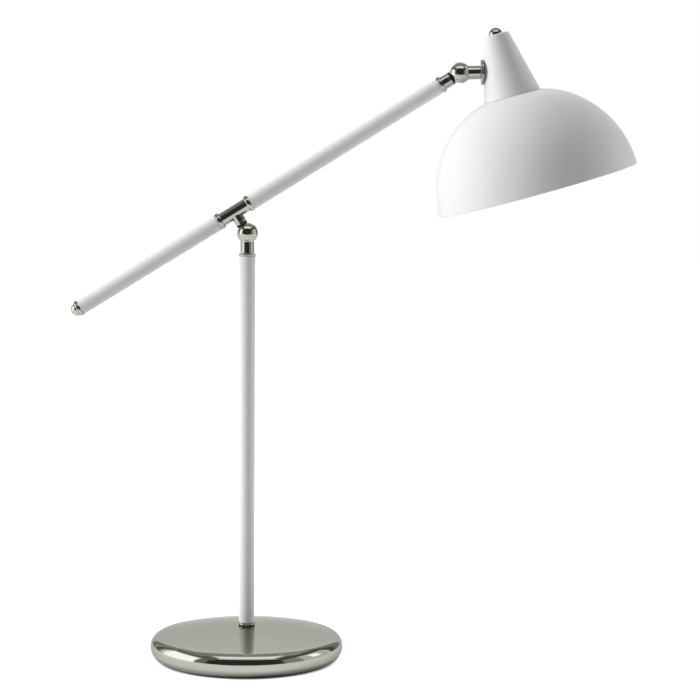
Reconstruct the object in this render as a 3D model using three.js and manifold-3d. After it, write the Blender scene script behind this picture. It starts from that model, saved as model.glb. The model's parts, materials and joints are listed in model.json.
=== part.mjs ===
// Swing arm desk lamp: a round nickel base, a white column, a white arm balanced on a slotted
// ball joint, and a domed shade on a second ball joint. Millimetres, +Z up, with the origin
// under the middle of the base. The arm swings in the XZ plane and the shade is on the +X side.
import * as THREE from 'three';
import { mergeVertices } from 'three/addons/utils/BufferGeometryUtils.js';
import Module from 'manifold-3d';

const wasm = await Module();
wasm.setup();

// ---------- clearances ----------
const seatGap = 0.3; // between pieces that bear on each other or fit inside each other
const runningGap = 0.2; // round a pivot screw

// ---------- base ----------
const baseRadius = 98.3;
const baseEdgeRadius = 12; // the rounded rim, seen in section
const baseUnderHeight = 13.3; // from the lip up to the widest line
const baseCrownRadius = 440; // the gentle dome of the top
const shellLift = 1.0; // the lip floats this far above the table
const shellWall = 1.2;
const lipWidth = 6; // the lip turned in under the rim
const padThickness = 2;
const weightThickness = 16;
const weightChamfer = 1.5;
const weightBossRadius = 16;
const recessRadius = 17; // under the weight, round the nut
const recessDepth = 8.5;
const washerRadius = 13;
const washerThickness = 1.5;
const locknutRadius = 9.8; // to its corners
const locknutThickness = 5;
const nippleRadius = 5; // the threaded pipes that clamp the base and the shade
const nippleWall = 1.8;
const nippleInsert = 9; // how far it screws into the column foot

// ---------- cord inlet ----------
const inletHeight = 8;
const inletBoreRadius = 3.4;
const inletWall = 1.1;
const inletFlangeWidth = 1.6;
const inletFlangeDepth = 1.3; // stands out past the widest line of the base
const inletDepth = 13;
const channelDepth = 8;

// ---------- tubes and ferrules ----------
const tubeRadius = 8;
const tubeWall = 1.2;
const columnTubeLength = 373.5;
const rearTubeLength = 162.7;
const frontTubeLength = 221.2;
const beadRadius = 8.5;
const beadFoot = 7.6; // radius where a bead begins
const spigotLength = 14; // the part of a ferrule that is pressed into a tube
const cableRadius = 2.6; // way for the flex
const footBeadHeight = 2.4;
const columnBeadHeight = 2.4;
const teeBeadLength = 4.4;
const plugBeadLength = 3.8;
const frontBeadLength = 3.8;

// ---------- ball joints ----------
const ballRadius = 10.5;
const neckRadius = 6.75;
const neckFillet = 2;
const lowerNeckLength = 20.4; // pivot to the bottom of the neck
const headNeckLength = 20.4;
const tongueHalfWidth = 4.8;
const tongueThickness = 5;
const frictionWasher = 0.8;
const cupGap = 0.35; // between the ball and the cupped foot of the knuckle
const knuckleFoot = 2; // thickness of that foot on its axis
const knuckleSpigotRadius = 3.5;
const knuckleSpigotLength = 7;
const screwRadius = 2;
const screwHeadRadius = 3.7;
const screwHeadHeight = 2.2;
const screwHeadDepth = 1.1; // under the top of the ball
const screwThread = 4; // in the blind ear
const stubRadius = 4; // the hollow shaft that turns inside the column ferrule
const swivelWasher = 0.8;
const swivelNutHeight = 4;
const stubPeen = 0.8; // end of the shaft past its nut

// ---------- arm ----------
const armElevation = 31.95; // degrees
const armLowest = -10;
const armHighest = 66;
const armOffset = 24.4; // pivot to the axis of the arm
const teeHalfLength = 14.8; // to the inner side of each bead
const stemRadius = 5.9;
const frontNeckLength = 20.2; // end of the front bead to the head pivot
const finialRadius = 6.8;
const finialStudRadius = 2.6;
const finialStudLength = 4;
const counterweightSlack = 9.7; // free tube between it and the tee's spigot

// ---------- shade ----------
const shadeTilt = 15.85; // degrees, the axis of the shade from the vertical
const headDrop = 35; // degrees that the head tilts down from rest
const headRaise = 60;
const domeRadius = 102.4;
const domeHeight = 97.2; // rim to the foot of the cone
const crownStart = 55; // radius where the sphere turns flatter
const crownSlope = 0.2;
const domeWall = 0.8;
const hemWidth = 2;
const hemHeight = 2.4;
const collarHeight = 6;
const coneFootRadius = 28.9;
const coneHeight = 63.4;
const coneAngle = 14.04; // degrees, half the angle at its tip
const coneWall = 0.8;
const coneEdge = 1.2;
const neckHeight = 127.7; // rim to where the neck meets the cone
const flangeRadius = 12.6;
const flangeThickness = 1.2;
const saddleEdge = 1.2;
const saddleMiddle = 1.1; // what the hollow for the cone leaves of the disc at its middle
const saddleRadius = 7; // the boss behind the disc, seated on the cone
const saddleDepth = 1.5;
const innerSaddleRadius = 8;
const innerSaddleThickness = 2.4;
const nippleNutRadius = 7.8;
const nippleNutHeight = 3.6;
const nippleSocket = 6; // how far the shade nipple screws into the neck

// ---------- lampholder and bulb ----------
const holderTop = 114; // above the rim
const holderNeckRadius = 7;
const holderNeckHeight = 6;
const holderRadius = 14;
const holderWall = 1.1;
const holderShoulder = 5;
const holderCapSkirt = 5;
const holderLength = 33;
const holderMouth = 9.6;
const stemInsert = 6;
const stemWindowLength = 13;
const stemWindowWidth = 5;
const sleeveRadius = 8.4;
const sleeveWall = 0.9;
const sleeveLength = 21;
const coreTop = 8; // ceramic above the sleeve
const contactRadius = 2.4;
const contactHeight = 1;
const bulbCapRadius = 6.9;
const bulbCapLength = 20;
const bulbRadius = 22.5;
const bulbLength = 78;
const bulbWall = 1;
const bulbNeckRadius = 8.2;
const bulbShoulder = 4; // from the neck out to where the globe begins

// ---------- how finely round things are made ----------
const largeSides = 40;
const tubeSides = 20;
const smallSides = 12;
const ringSteps = 2; // steps in a small half-round ring
const filletSteps = 2;
const crownSteps = 3;
const edgeSteps = 4;
const bulbSteps = 5;
const finialSteps = 6;
const ballSteps = 7;
const domeSteps = 7;
const tongueSteps = 12;

// ---------- worked out from the sizes above ----------
const radians = THREE.MathUtils.degToRad;
const tubeBore = tubeRadius - tubeWall;
const spigotRadius = tubeBore - seatGap;
const nippleHole = nippleRadius + seatGap;
const nippleBore = nippleRadius - nippleWall;
const stubHole = stubRadius + seatGap;
const knuckleSocket = knuckleSpigotRadius + seatGap;
const knuckleTop = ballRadius + cupGap + knuckleFoot;
const slotHalfWidth = tongueThickness / 2 + frictionWasher + 2 * seatGap;
const screwSeat = ballRadius - screwHeadDepth - screwHeadHeight;
const coneLean = radians(coneAngle);
const coneTopZ = domeHeight + coneHeight;
const coneTopRadius = coneFootRadius - coneHeight * Math.tan(coneLean);
const coneSkin = coneWall / Math.cos(coneLean); // wall measured square to the axis

const equatorZ = shellLift + baseUnderHeight;
const edgeCentre = baseRadius - baseEdgeRadius;
const crownCentreZ = equatorZ - Math.sqrt((baseCrownRadius - baseEdgeRadius) ** 2 - edgeCentre ** 2);
const crownZ = crownCentreZ + baseCrownRadius;
const lipRadius = edgeCentre - lipWidth;
const padRadius = lipRadius - 2 * seatGap;
const weightBottom = padThickness + seatGap;
const recessTop = weightBottom + recessDepth;
const weightTop = weightBottom + weightThickness;
const bossTop = crownHeight(weightBossRadius) - shellWall - seatGap;
const locknutTop = recessTop - washerThickness - 2 * seatGap;
const nippleFoot = locknutTop - locknutThickness - seatGap;

const footBottom = crownZ + seatGap;
const footTop = footBottom + footBeadHeight;
const nippleHead = footBottom + nippleInsert;
const tubeBottom = footTop + seatGap;
const tubeTop = tubeBottom + columnTubeLength;
const columnBeadTop = tubeTop + seatGap + columnBeadHeight;
const pivotZ = columnBeadTop + seatGap + lowerNeckLength;
const stubLength = seatGap + columnBeadHeight + spigotLength + 2 * seatGap
  + swivelWasher + swivelNutHeight + stubPeen;
const swivelWasherTop = -lowerNeckLength - seatGap - columnBeadHeight - spigotLength - seatGap;

const teeEnd = teeHalfLength + teeBeadLength;
const rearTubeEnd = teeEnd + seatGap + rearTubeLength;
const frontTubeEnd = teeEnd + seatGap + frontTubeLength;
const plugFace = rearTubeEnd + seatGap + plugBeadLength;
const headReach = frontTubeEnd + seatGap + frontBeadLength + frontNeckLength;

const neckElevation = shadeTilt - coneAngle;
const headLean = armElevation - neckElevation;
const flangeFront = headNeckLength + seatGap;
const saddleFront = flangeFront + flangeThickness + seatGap;
const coneSide = saddleFront + saddleMiddle + seatGap;
const coneRadiusAtNeck = coneFootRadius - (neckHeight - domeHeight) * Math.tan(coneLean);
const innerSaddleFace = coneSide + coneWall + seatGap + innerSaddleThickness;
const nippleNutFace = innerSaddleFace + seatGap;
const nippleEnd = nippleNutFace + nippleNutHeight + seatGap;

const holderCapBottom = holderTop - holderNeckHeight - holderShoulder - holderCapSkirt;
const holderBodyTop = holderCapBottom - seatGap;
const holderBottom = holderBodyTop - holderLength;
const sleeveTop = holderBodyTop - coreTop;
const sleeveBottom = sleeveTop - sleeveLength;
const bulbContact = sleeveTop - contactHeight - 2 * seatGap;
const bulbCapBottom = bulbContact - bulbCapLength;
const bulbTip = bulbContact - bulbLength;

// ---------- finishes ----------
function finish(color, roughness, metalness) {
  return new THREE.MeshStandardMaterial({ color, roughness, metalness });
}

const nickel = finish(0xb9b8b0, 0.12, 1);
const whitePaint = finish(0xf1f1ef, 0.45, 0);
const steel = finish(0x9a9b9c, 0.35, 1);
const castIron = finish(0x2f3032, 0.8, 0.6);
const brass = finish(0xc9a558, 0.3, 1);
const blackPlastic = finish(0x1b1b1c, 0.5, 0);
const whitePlastic = finish(0xe9e7e1, 0.5, 0);
const ceramic = finish(0xe4e0d6, 0.55, 0);
const fibre = finish(0x6b4a32, 0.8, 0);
const padRubber = finish(0x26262a, 0.95, 0);
const frostedGlass = finish(0xf4f2ec, 0.35, 0);

// ---------- tools ----------
// Joins the corners that coincide and drops the triangles that collapse on an axis.
function welded(geometry) {
  const bare = new THREE.BufferGeometry();
  bare.setAttribute('position', geometry.getAttribute('position'));
  bare.setIndex(geometry.getIndex());
  const merged = mergeVertices(bare, 1e-4);
  const corners = merged.getIndex().array;
  const kept = [];
  for (let i = 0; i < corners.length; i += 3) {
    const [a, b, c] = corners.slice(i, i + 3);
    if (a !== b && b !== c && c !== a) {
      kept.push(a, b, c);
    }
  }
  merged.setIndex(kept);
  return merged;
}

function toSolid(geometry) {
  const closed = welded(geometry);
  return new wasm.Manifold(new wasm.Mesh({
    numProp: 3,
    vertProperties: new Float32Array(closed.getAttribute('position').array),
    triVerts: new Uint32Array(closed.getIndex().array),
  }));
}

function toGeometry(body) {
  const mesh = body.getMesh();
  const geometry = new THREE.BufferGeometry();
  geometry.setAttribute('position', new THREE.BufferAttribute(mesh.vertProperties.slice(), 3));
  geometry.setIndex(new THREE.BufferAttribute(mesh.triVerts.slice(), 1));
  return geometry;
}

function joined(first, ...others) {
  return toGeometry(others.reduce((body, other) => body.add(toSolid(other)), toSolid(first)));
}

function cut(first, ...others) {
  return toGeometry(others.reduce((body, other) => body.subtract(toSolid(other)), toSolid(first)));
}

// Turns [radius, height] points about Z. The points run anticlockwise round the section.
function turned(points, sides = tubeSides) {
  const outline = points.map(([radius, height]) => new THREE.Vector2(radius, height));
  return new THREE.LatheGeometry(outline, sides).rotateX(Math.PI / 2);
}

function rod(radius, low, high, sides = smallSides) {
  return turned([[0, low], [radius, low], [radius, high], [0, high]], sides);
}

function pipe(outer, inner, low, high, sides = smallSides) {
  return turned([[inner, low], [outer, low], [outer, high], [inner, high], [inner, low]], sides);
}

function alongX(geometry) {
  return geometry.rotateY(Math.PI / 2);
}

function alongY(geometry) {
  return geometry.rotateX(-Math.PI / 2);
}

function box(width, depth, height, x, y, z) {
  return new THREE.BoxGeometry(width, depth, height).translate(x, y, z);
}

// Points on an elliptical arc, angles in degrees from the +radius direction.
function arc(centre, height, radii, from, to, steps) {
  const points = [];
  for (let i = 0; i <= steps; i += 1) {
    const angle = radians(from + (to - from) * i / steps);
    points.push([centre + radii[0] * Math.cos(angle), height + radii[1] * Math.sin(angle)]);
  }
  return points;
}

// The outside of a bead, from low to high: one half-round ring.
function bead(low, high) {
  const half = (high - low) / 2;
  return arc(beadFoot, low + half, [beadRadius - beadFoot, half], -90, 90, 2 * ringSteps);
}

// ---------- base ----------
function crownHeight(radius) {
  return crownCentreZ + Math.sqrt(baseCrownRadius ** 2 - radius ** 2);
}

// The section of the base from its lip to a hole in the crown, moved out by grow.
function baseOutline(grow, hole) {
  const edge = baseEdgeRadius + grow;
  const under = baseUnderHeight + grow;
  const tangent = THREE.MathUtils.radToDeg(Math.atan2(equatorZ - crownCentreZ, edgeCentre));
  const crown = baseCrownRadius + grow;
  const holeAngle = THREE.MathUtils.radToDeg(Math.acos(hole / crown));
  return [
    ...arc(edgeCentre, equatorZ, [edge, under], -90, 0, edgeSteps),
    ...arc(edgeCentre, equatorZ, [edge, edge], 0, tangent, edgeSteps).slice(1),
    ...arc(0, crownCentreZ, [crown, crown], tangent, holeAngle, crownSteps).slice(1),
  ];
}

function baseShell() {
  const outside = baseOutline(0, nippleHole);
  const inside = baseOutline(-shellWall, nippleHole).reverse();
  const lip = [[lipRadius, shellLift + shellWall], [lipRadius, shellLift]];
  const shell = turned([...lip, ...outside, ...inside, lip[0]], largeSides);
  const inletHole = alongY(rod(inletBoreRadius + inletWall + seatGap, 0, 2 * baseRadius));
  return cut(shell, inletHole.translate(0, 0, inletHeight));
}

function basePad() {
  return rod(padRadius, 0, padThickness, largeSides);
}

function baseWeight() {
  const weight = turned([
    [nippleHole, recessTop],
    [recessRadius, recessTop],
    [recessRadius, weightBottom],
    [padRadius, weightBottom],
    [padRadius, weightTop - weightChamfer],
    [padRadius - weightChamfer, weightTop],
    [weightBossRadius, weightTop],
    [weightBossRadius, bossTop],
    [nippleHole, bossTop],
    [nippleHole, recessTop],
  ], largeSides);
  const [start, end] = [recessRadius / 2, baseRadius];
  const width = 2 * (inletBoreRadius + inletWall);
  return cut(weight, box(width, end - start, 2 * channelDepth, 0, (start + end) / 2, weightBottom));
}

function baseWasher() {
  return pipe(washerRadius, nippleHole, recessTop - seatGap - washerThickness, recessTop - seatGap);
}

function baseLocknut() {
  const blank = rod(locknutRadius, locknutTop - locknutThickness, locknutTop, 6);
  return cut(blank, rod(nippleHole, 0, crownZ));
}

function columnNipple() {
  return pipe(nippleRadius, nippleBore, nippleFoot, nippleHead);
}

// A bush seated to the curve of the rim, with a body that reaches into the cable channel.
function cordBushing() {
  const bodyRadius = inletBoreRadius + inletWall;
  const face = baseRadius + inletFlangeDepth;
  const flange = rod(bodyRadius + inletFlangeWidth, face - inletDepth / 2, face);
  const profile = baseOutline(seatGap, 0);
  const mould = turned([[0, profile[0][1]], ...profile], largeSides);
  const seat = cut(alongY(flange).translate(0, 0, inletHeight), mould);
  const body = alongY(rod(bodyRadius, face - inletDepth, face - inletFlangeDepth));
  const bore = alongY(rod(inletBoreRadius, face - 2 * inletDepth, face + inletDepth));
  return cut(joined(seat, body.translate(0, 0, inletHeight)), bore.translate(0, 0, inletHeight));
}

// ---------- column ----------
function columnFoot() {
  return turned([
    [nippleHole, footBottom],
    ...bead(footBottom, footTop),
    [spigotRadius, footTop],
    [spigotRadius, footTop + spigotLength],
    [cableRadius, footTop + spigotLength],
    [cableRadius, nippleHead + seatGap],
    [nippleHole, nippleHead + seatGap],
    [nippleHole, footBottom],
  ]);
}

function tube(from, length) {
  return pipe(tubeRadius, tubeBore, from, from + length, tubeSides);
}

// The bead at the top of the column, bored for the shaft of the lower ball joint.
function columnFerrule() {
  const low = tubeTop + seatGap;
  return turned([
    [stubHole, low - spigotLength],
    [spigotRadius, low - spigotLength],
    [spigotRadius, low],
    ...bead(low, columnBeadTop),
    [stubHole, columnBeadTop],
    [stubHole, low - spigotLength],
  ]);
}

// ---------- ball joints, with the pivot at the origin along Y ----------
// The way that the tongue sweeps as it leans from +Z towards -X, between two angles.
function tongueSlot(leanFrom, leanTo) {
  const width = tongueHalfWidth + 2 * seatGap;
  const reach = 3 * ballRadius;
  const [first, last] = [radians(leanFrom), radians(leanTo)];
  const sweep = new THREE.Shape();
  sweep.absarc(0, 0, width, first, last - Math.PI, true);
  const flank = (lean, side) => [
    side * Math.cos(lean) - reach * Math.sin(lean),
    side * Math.sin(lean) + reach * Math.cos(lean),
  ];
  sweep.lineTo(...flank(last, -width));
  sweep.lineTo(...flank(first, width));
  return plate(sweep, slotHalfWidth * 2);
}

// A flat shape drawn in X and Z, with its thickness centred on Y.
function plate(shape, thickness) {
  const options = { depth: thickness, bevelEnabled: false, curveSegments: tongueSteps };
  const slab = new THREE.ExtrudeGeometry(shape, options);
  return slab.translate(0, 0, -thickness / 2).rotateX(Math.PI / 2);
}

function ballOutline() {
  const filletRadius = neckRadius + neckFillet;
  const filletZ = -Math.sqrt((ballRadius + neckFillet) ** 2 - filletRadius ** 2);
  const touch = THREE.MathUtils.radToDeg(Math.atan2(filletZ, filletRadius));
  const fillet = [neckFillet, neckFillet];
  return [
    ...arc(filletRadius, filletZ, fillet, 180, 180 + touch, filletSteps),
    ...arc(0, 0, [ballRadius, ballRadius], touch, 90, ballSteps).slice(1),
  ];
}

function slottedBall(tail, leanFrom, leanTo, bore) {
  const blank = turned([...tail, ...ballOutline()], tubeSides);
  const shank = rod(screwRadius + seatGap / 2, -slotHalfWidth - screwThread, ballRadius);
  const counterbore = rod(screwHeadRadius + seatGap, screwSeat, 2 * ballRadius);
  return cut(blank, tongueSlot(leanFrom, leanTo), bore, alongY(shank), alongY(counterbore));
}

function lowerBallHousing() {
  const end = -lowerNeckLength - stubLength;
  const tail = [
    [0, end],
    [stubRadius, end],
    [stubRadius, -lowerNeckLength],
    [neckRadius, -lowerNeckLength],
  ];
  const bore = rod(cableRadius, 2 * end, 0);
  return slottedBall(tail, armLowest, armHighest, bore);
}

function headBallHousing() {
  const tail = [[0, -headNeckLength], [neckRadius, -headNeckLength]];
  const bore = joined(
    rod(cableRadius, -2 * headNeckLength, 0),
    rod(nippleHole, -2 * headNeckLength, nippleSocket - headNeckLength),
  );
  return slottedBall(tail, headLean - headRaise, headLean + headDrop, bore);
}

// The moving half of a joint: a cupped foot over the ball, a tongue in its slot, and a spigot.
function knuckle(footRadius) {
  const cup = ballRadius + cupGap;
  const land = footRadius - seatGap;
  const rimAngle = THREE.MathUtils.radToDeg(Math.acos(land / cup));
  const rimZ = Math.sqrt(cup ** 2 - land ** 2);
  const foot = turned([
    ...arc(0, 0, [cup, cup], 90, rimAngle, crownSteps),
    [footRadius, rimZ],
    [footRadius, knuckleTop],
    [knuckleSpigotRadius, knuckleTop],
    [knuckleSpigotRadius, knuckleTop + knuckleSpigotLength],
    [0, knuckleTop + knuckleSpigotLength],
  ]);
  const outline = new THREE.Shape();
  outline.absarc(0, 0, tongueHalfWidth, 0, -Math.PI, true);
  outline.lineTo(-tongueHalfWidth, cup + knuckleFoot / 4);
  outline.lineTo(tongueHalfWidth, cup + knuckleFoot / 4);
  const eye = alongY(rod(screwRadius + runningGap, -tongueThickness, tongueThickness));
  return cut(joined(foot, plate(outline, tongueThickness)), eye);
}

function pivotScrew() {
  const tip = -slotHalfWidth - screwThread + seatGap;
  const seat = screwSeat + seatGap;
  const face = screwSeat + screwHeadHeight;
  const body = turned([
    [0, tip],
    [screwRadius - seatGap / 2, tip],
    [screwRadius, tip + seatGap],
    [screwRadius, seat],
    [screwHeadRadius, seat],
    [screwHeadRadius, face - seatGap],
    [screwHeadRadius - seatGap, face],
    [0, face],
  ], smallSides);
  const slot = box(screwHeadRadius / 3, 3 * screwHeadRadius, screwHeadHeight, 0, 0, face);
  return alongY(cut(body, slot));
}

function frictionDisc(side) {
  const near = tongueThickness / 2 + seatGap;
  const disc = pipe(tongueHalfWidth, screwRadius + runningGap, near, near + frictionWasher);
  return side > 0 ? alongY(disc) : alongY(disc).rotateZ(Math.PI);
}

function swivelRing() {
  return pipe(spigotRadius - seatGap, stubHole, swivelWasherTop - swivelWasher, swivelWasherTop);
}

function swivelNut() {
  const top = swivelWasherTop - swivelWasher - seatGap;
  return pipe(spigotRadius - seatGap, stubHole, top - swivelNutHeight, top);
}

// ---------- arm, in a frame with X along it and its pivot at the origin ----------
function armTee() {
  const crossTube = turned([
    [0, -teeEnd - spigotLength],
    [spigotRadius, -teeEnd - spigotLength],
    [spigotRadius, -teeEnd],
    ...bead(-teeEnd, -teeHalfLength),
    [neckRadius, -teeHalfLength],
    [neckRadius, teeHalfLength],
    ...bead(teeHalfLength, teeEnd),
    [spigotRadius, teeEnd],
    [spigotRadius, teeEnd + spigotLength],
    [0, teeEnd + spigotLength],
  ]);
  const stem = rod(stemRadius, knuckleTop + seatGap, armOffset, tubeSides);
  const body = joined(alongX(crossTube).translate(0, 0, armOffset), stem);
  const cable = alongX(rod(cableRadius, 0, 2 * teeEnd + spigotLength)).translate(0, 0, armOffset);
  return cut(body, cable, rod(knuckleSocket, 0, armOffset));
}

function rearEndPlug() {
  const low = -plugFace;
  const high = -rearTubeEnd - seatGap;
  return turned([
    [0, low - finialStudLength],
    [finialStudRadius, low - finialStudLength],
    [finialStudRadius, low],
    ...bead(low, high),
    [spigotRadius, high],
    [spigotRadius, high + spigotLength],
    [0, high + spigotLength],
  ]);
}

function frontFerrule() {
  const low = frontTubeEnd + seatGap;
  const high = low + frontBeadLength;
  const end = headReach - knuckleTop - seatGap;
  return turned([
    [cableRadius, low - spigotLength],
    [spigotRadius, low - spigotLength],
    [spigotRadius, low],
    ...bead(low, high),
    [neckRadius, high],
    [neckRadius, end],
    [knuckleSocket, end],
    [knuckleSocket, end - knuckleSpigotLength - seatGap],
    [cableRadius, end - knuckleSpigotLength - seatGap],
    [cableRadius, low - spigotLength],
  ]);
}

// A half-round cap nut that stands on Z = 0, bored for a stud.
function finial() {
  const hole = finialStudRadius + seatGap;
  const depth = finialStudLength + seatGap;
  const foot = THREE.MathUtils.radToDeg(Math.asin(seatGap / finialRadius));
  return turned([
    [0, depth],
    [hole, depth],
    [hole, seatGap],
    ...arc(0, 0, [finialRadius, finialRadius], foot, 90, finialSteps),
  ], smallSides);
}

function counterweight() {
  const end = -rearTubeEnd + spigotLength;
  const length = rearTubeLength - 2 * spigotLength - counterweightSlack;
  return rod(spigotRadius, end, end + length);
}

// ---------- shade joint, in a frame with X along the neck and its pivot at the origin ----------
// Places the axis of the shade: its cone side lies square to the neck.
function shadePlace() {
  const place = new THREE.Matrix4().makeRotationY(-coneLean);
  const toRim = new THREE.Vector3(coneRadiusAtNeck, 0, -neckHeight).applyMatrix4(place);
  return place.setPosition(toRim.x + coneSide, 0, toRim.z);
}

// The solid that the cone would be if it ran on, made wider all round by grow.
function coneMould(grow) {
  const skin = grow / Math.cos(coneLean);
  const spread = coneHeight * Math.tan(coneLean);
  const mould = turned([
    [0, domeHeight - coneHeight],
    [coneFootRadius + spread + skin, domeHeight - coneHeight],
    [coneTopRadius + skin, coneTopZ],
    [0, coneTopZ],
  ], largeSides);
  return mould.applyMatrix4(shadePlace());
}

function headFlange() {
  return alongX(turned([
    [nippleHole, flangeFront],
    ...arc(flangeRadius - flangeThickness / 2, flangeFront + flangeThickness / 2,
      [flangeThickness / 2, flangeThickness / 2], -90, 90, ringSteps),
    [nippleHole, flangeFront + flangeThickness],
    [nippleHole, flangeFront],
  ], tubeSides));
}

// The second disc of the flange, with a boss behind it hollowed to sit on the side of the cone.
function shadeFlange() {
  const back = saddleFront + saddleEdge;
  const disc = pipe(flangeRadius, nippleHole, saddleFront, back, tubeSides);
  const boss = pipe(saddleRadius, nippleHole, back - saddleEdge / 2, back + saddleDepth, tubeSides);
  return cut(alongX(joined(disc, boss)), coneMould(seatGap));
}

// The same seat inside the cone: only the part of a disc that fits within its wall.
function innerSaddle() {
  const low = coneSide;
  const disc = toSolid(alongX(pipe(innerSaddleRadius, nippleHole, low, innerSaddleFace)));
  return toGeometry(disc.intersect(toSolid(coneMould(-coneWall - seatGap))));
}

function headNipple() {
  const start = headNeckLength - nippleSocket + seatGap;
  return alongX(pipe(nippleRadius, nippleBore, start, nippleEnd));
}

function nippleNut() {
  return alongX(pipe(nippleNutRadius, nippleHole, nippleNutFace, nippleNutFace + nippleNutHeight));
}

// ---------- shade, turned about its own axis with its rim at Z = 0 ----------
// The outside of the dome: a sphere that turns flatter near the foot of the cone.
function domeOutline() {
  const startZ = Math.sqrt(domeRadius ** 2 - crownStart ** 2);
  const startSlope = crownStart / startZ;
  const end = new THREE.Vector2(coneFootRadius, domeHeight - seatGap);
  const rise = end.y + crownSlope * end.x - startZ - startSlope * crownStart;
  const controlX = rise / (crownSlope - startSlope);
  const control = new THREE.Vector2(controlX, end.y - crownSlope * (controlX - end.x));
  const crown = new THREE.QuadraticBezierCurve(new THREE.Vector2(crownStart, startZ), control, end);
  const sphereEnd = THREE.MathUtils.radToDeg(Math.acos(crownStart / domeRadius));
  return [
    ...arc(0, 0, [domeRadius, domeRadius], 0, sphereEnd, domeSteps),
    ...crown.getPoints(ringSteps).slice(1).map((point) => [point.x, point.y]),
  ];
}

// Moves each point of an open outline inwards by the wall, square to the line through it.
function inset(points, wall) {
  return points.map(([radius, height], i) => {
    const before = points[Math.max(i - 1, 0)];
    const after = points[Math.min(i + 1, points.length - 1)];
    const run = Math.hypot(after[0] - before[0], after[1] - before[1]);
    const out = [(after[1] - before[1]) / run, (before[0] - after[0]) / run];
    return [radius - out[0] * wall, height - out[1] * wall];
  });
}

function shadeDome() {
  const outside = domeOutline();
  const inside = inset(outside, domeWall).slice(1).reverse();
  const foot = domeHeight - seatGap;
  const collar = coneFootRadius - coneSkin - seatGap;
  const taper = collarHeight * Math.tan(coneLean);
  const hem = domeRadius - hemWidth;
  return turned([
    ...outside,
    [collar, foot],
    [collar - taper, foot + collarHeight],
    [collar - taper - domeWall, foot + collarHeight],
    [collar - domeWall, foot - domeWall],
    ...inside,
    [domeRadius - domeWall, hemHeight + domeWall],
    [hem, hemHeight],
    [hem, 0],
    [domeRadius, 0],
  ], largeSides);
}

function shadeCone() {
  const hole = finialStudRadius + seatGap;
  const edgeSlope = coneEdge * Math.tan(coneLean);
  const shell = turned([
    [coneFootRadius - coneSkin, domeHeight],
    [coneFootRadius, domeHeight],
    [coneTopRadius + edgeSlope, coneTopZ - coneEdge],
    [coneTopRadius - coneEdge / 4, coneTopZ - coneEdge / 4],
    [coneTopRadius - coneEdge, coneTopZ],
    [hole, coneTopZ],
    [hole, coneTopZ - coneWall],
    [coneTopRadius - coneSkin - coneEdge / 2, coneTopZ - coneWall],
    [coneTopRadius - coneSkin + edgeSlope, coneTopZ - coneWall - coneEdge],
    [coneFootRadius - coneSkin, domeHeight],
  ], largeSides);
  const drill = alongX(rod(nippleHole, coneSide - coneFootRadius, coneSide + coneRadiusAtNeck));
  return cut(shell, drill.applyMatrix4(shadePlace().invert()));
}

// The hollow stem that hangs the lampholder from the top of the cone. The flex enters by a window.
function holderStem() {
  const low = holderTop - stemInsert;
  const shoulder = coneTopZ - coneWall - seatGap;
  const boreTop = neckHeight + stemWindowLength;
  const stem = turned([
    [0, boreTop],
    [nippleBore, boreTop],
    [nippleBore, low],
    [nippleRadius, low],
    [nippleRadius, shoulder],
    [finialStudRadius, shoulder],
    [finialStudRadius, coneTopZ + finialStudLength],
    [0, coneTopZ + finialStudLength],
  ], smallSides);
  const window = box(nippleRadius, stemWindowWidth, stemWindowLength, -nippleRadius, 0, neckHeight);
  return cut(stem, window);
}

function lampholderCap() {
  const shoulder = holderTop - holderNeckHeight;
  const skirt = shoulder - holderShoulder;
  const inner = holderRadius - holderWall;
  return turned([
    [nippleHole, shoulder - holderWall],
    [inner, skirt - holderWall],
    [inner, holderCapBottom],
    [holderRadius, holderCapBottom],
    ...arc(holderRadius - holderShoulder, skirt, [holderShoulder, holderShoulder], 0, 90, ringSteps),
    [holderNeckRadius, shoulder],
    [holderNeckRadius, holderTop],
    [nippleHole, holderTop],
    [nippleHole, shoulder - holderWall],
  ]);
}

function lampholderBody() {
  const inner = holderRadius - holderWall;
  return turned([
    [holderMouth, holderBottom],
    [holderRadius - holderWall, holderBottom],
    [holderRadius, holderBottom + holderWall],
    [holderRadius, holderBodyTop],
    [inner, holderBodyTop],
    [inner, holderBottom + holderWall],
    [holderMouth, holderBottom + holderWall],
    [holderMouth, holderBottom],
  ]);
}

// The ceramic block inside the holder, round the threaded sleeve and over the contact.
function lampholderCore() {
  const outer = holderRadius - holderWall - seatGap;
  const stud = contactRadius / 2 + seatGap;
  return turned([
    [sleeveRadius + seatGap, sleeveBottom],
    [outer, sleeveBottom],
    [outer, holderBodyTop],
    [stud, holderBodyTop],
    [stud, sleeveTop + seatGap],
    [sleeveRadius + seatGap, sleeveTop + seatGap],
    [sleeveRadius + seatGap, sleeveBottom],
  ]);
}

function lampholderSleeve() {
  return pipe(sleeveRadius, sleeveRadius - sleeveWall, sleeveBottom, sleeveTop);
}

// The brass contact: a disc above the bulb and a rivet up through the ceramic.
function centreContact() {
  return turned([
    [0, sleeveTop - contactHeight],
    [contactRadius, sleeveTop - contactHeight],
    [contactRadius, sleeveTop],
    [contactRadius / 2, sleeveTop],
    [contactRadius / 2, holderBodyTop],
    [0, holderBodyTop],
  ], smallSides);
}

function bulbCap() {
  return turned([
    [0, bulbCapBottom],
    [bulbCapRadius, bulbCapBottom],
    [bulbCapRadius, bulbContact - bulbCapRadius / 2],
    [contactRadius, bulbContact - contactHeight],
    [contactRadius, bulbContact],
    [0, bulbContact],
  ], smallSides);
}

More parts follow.
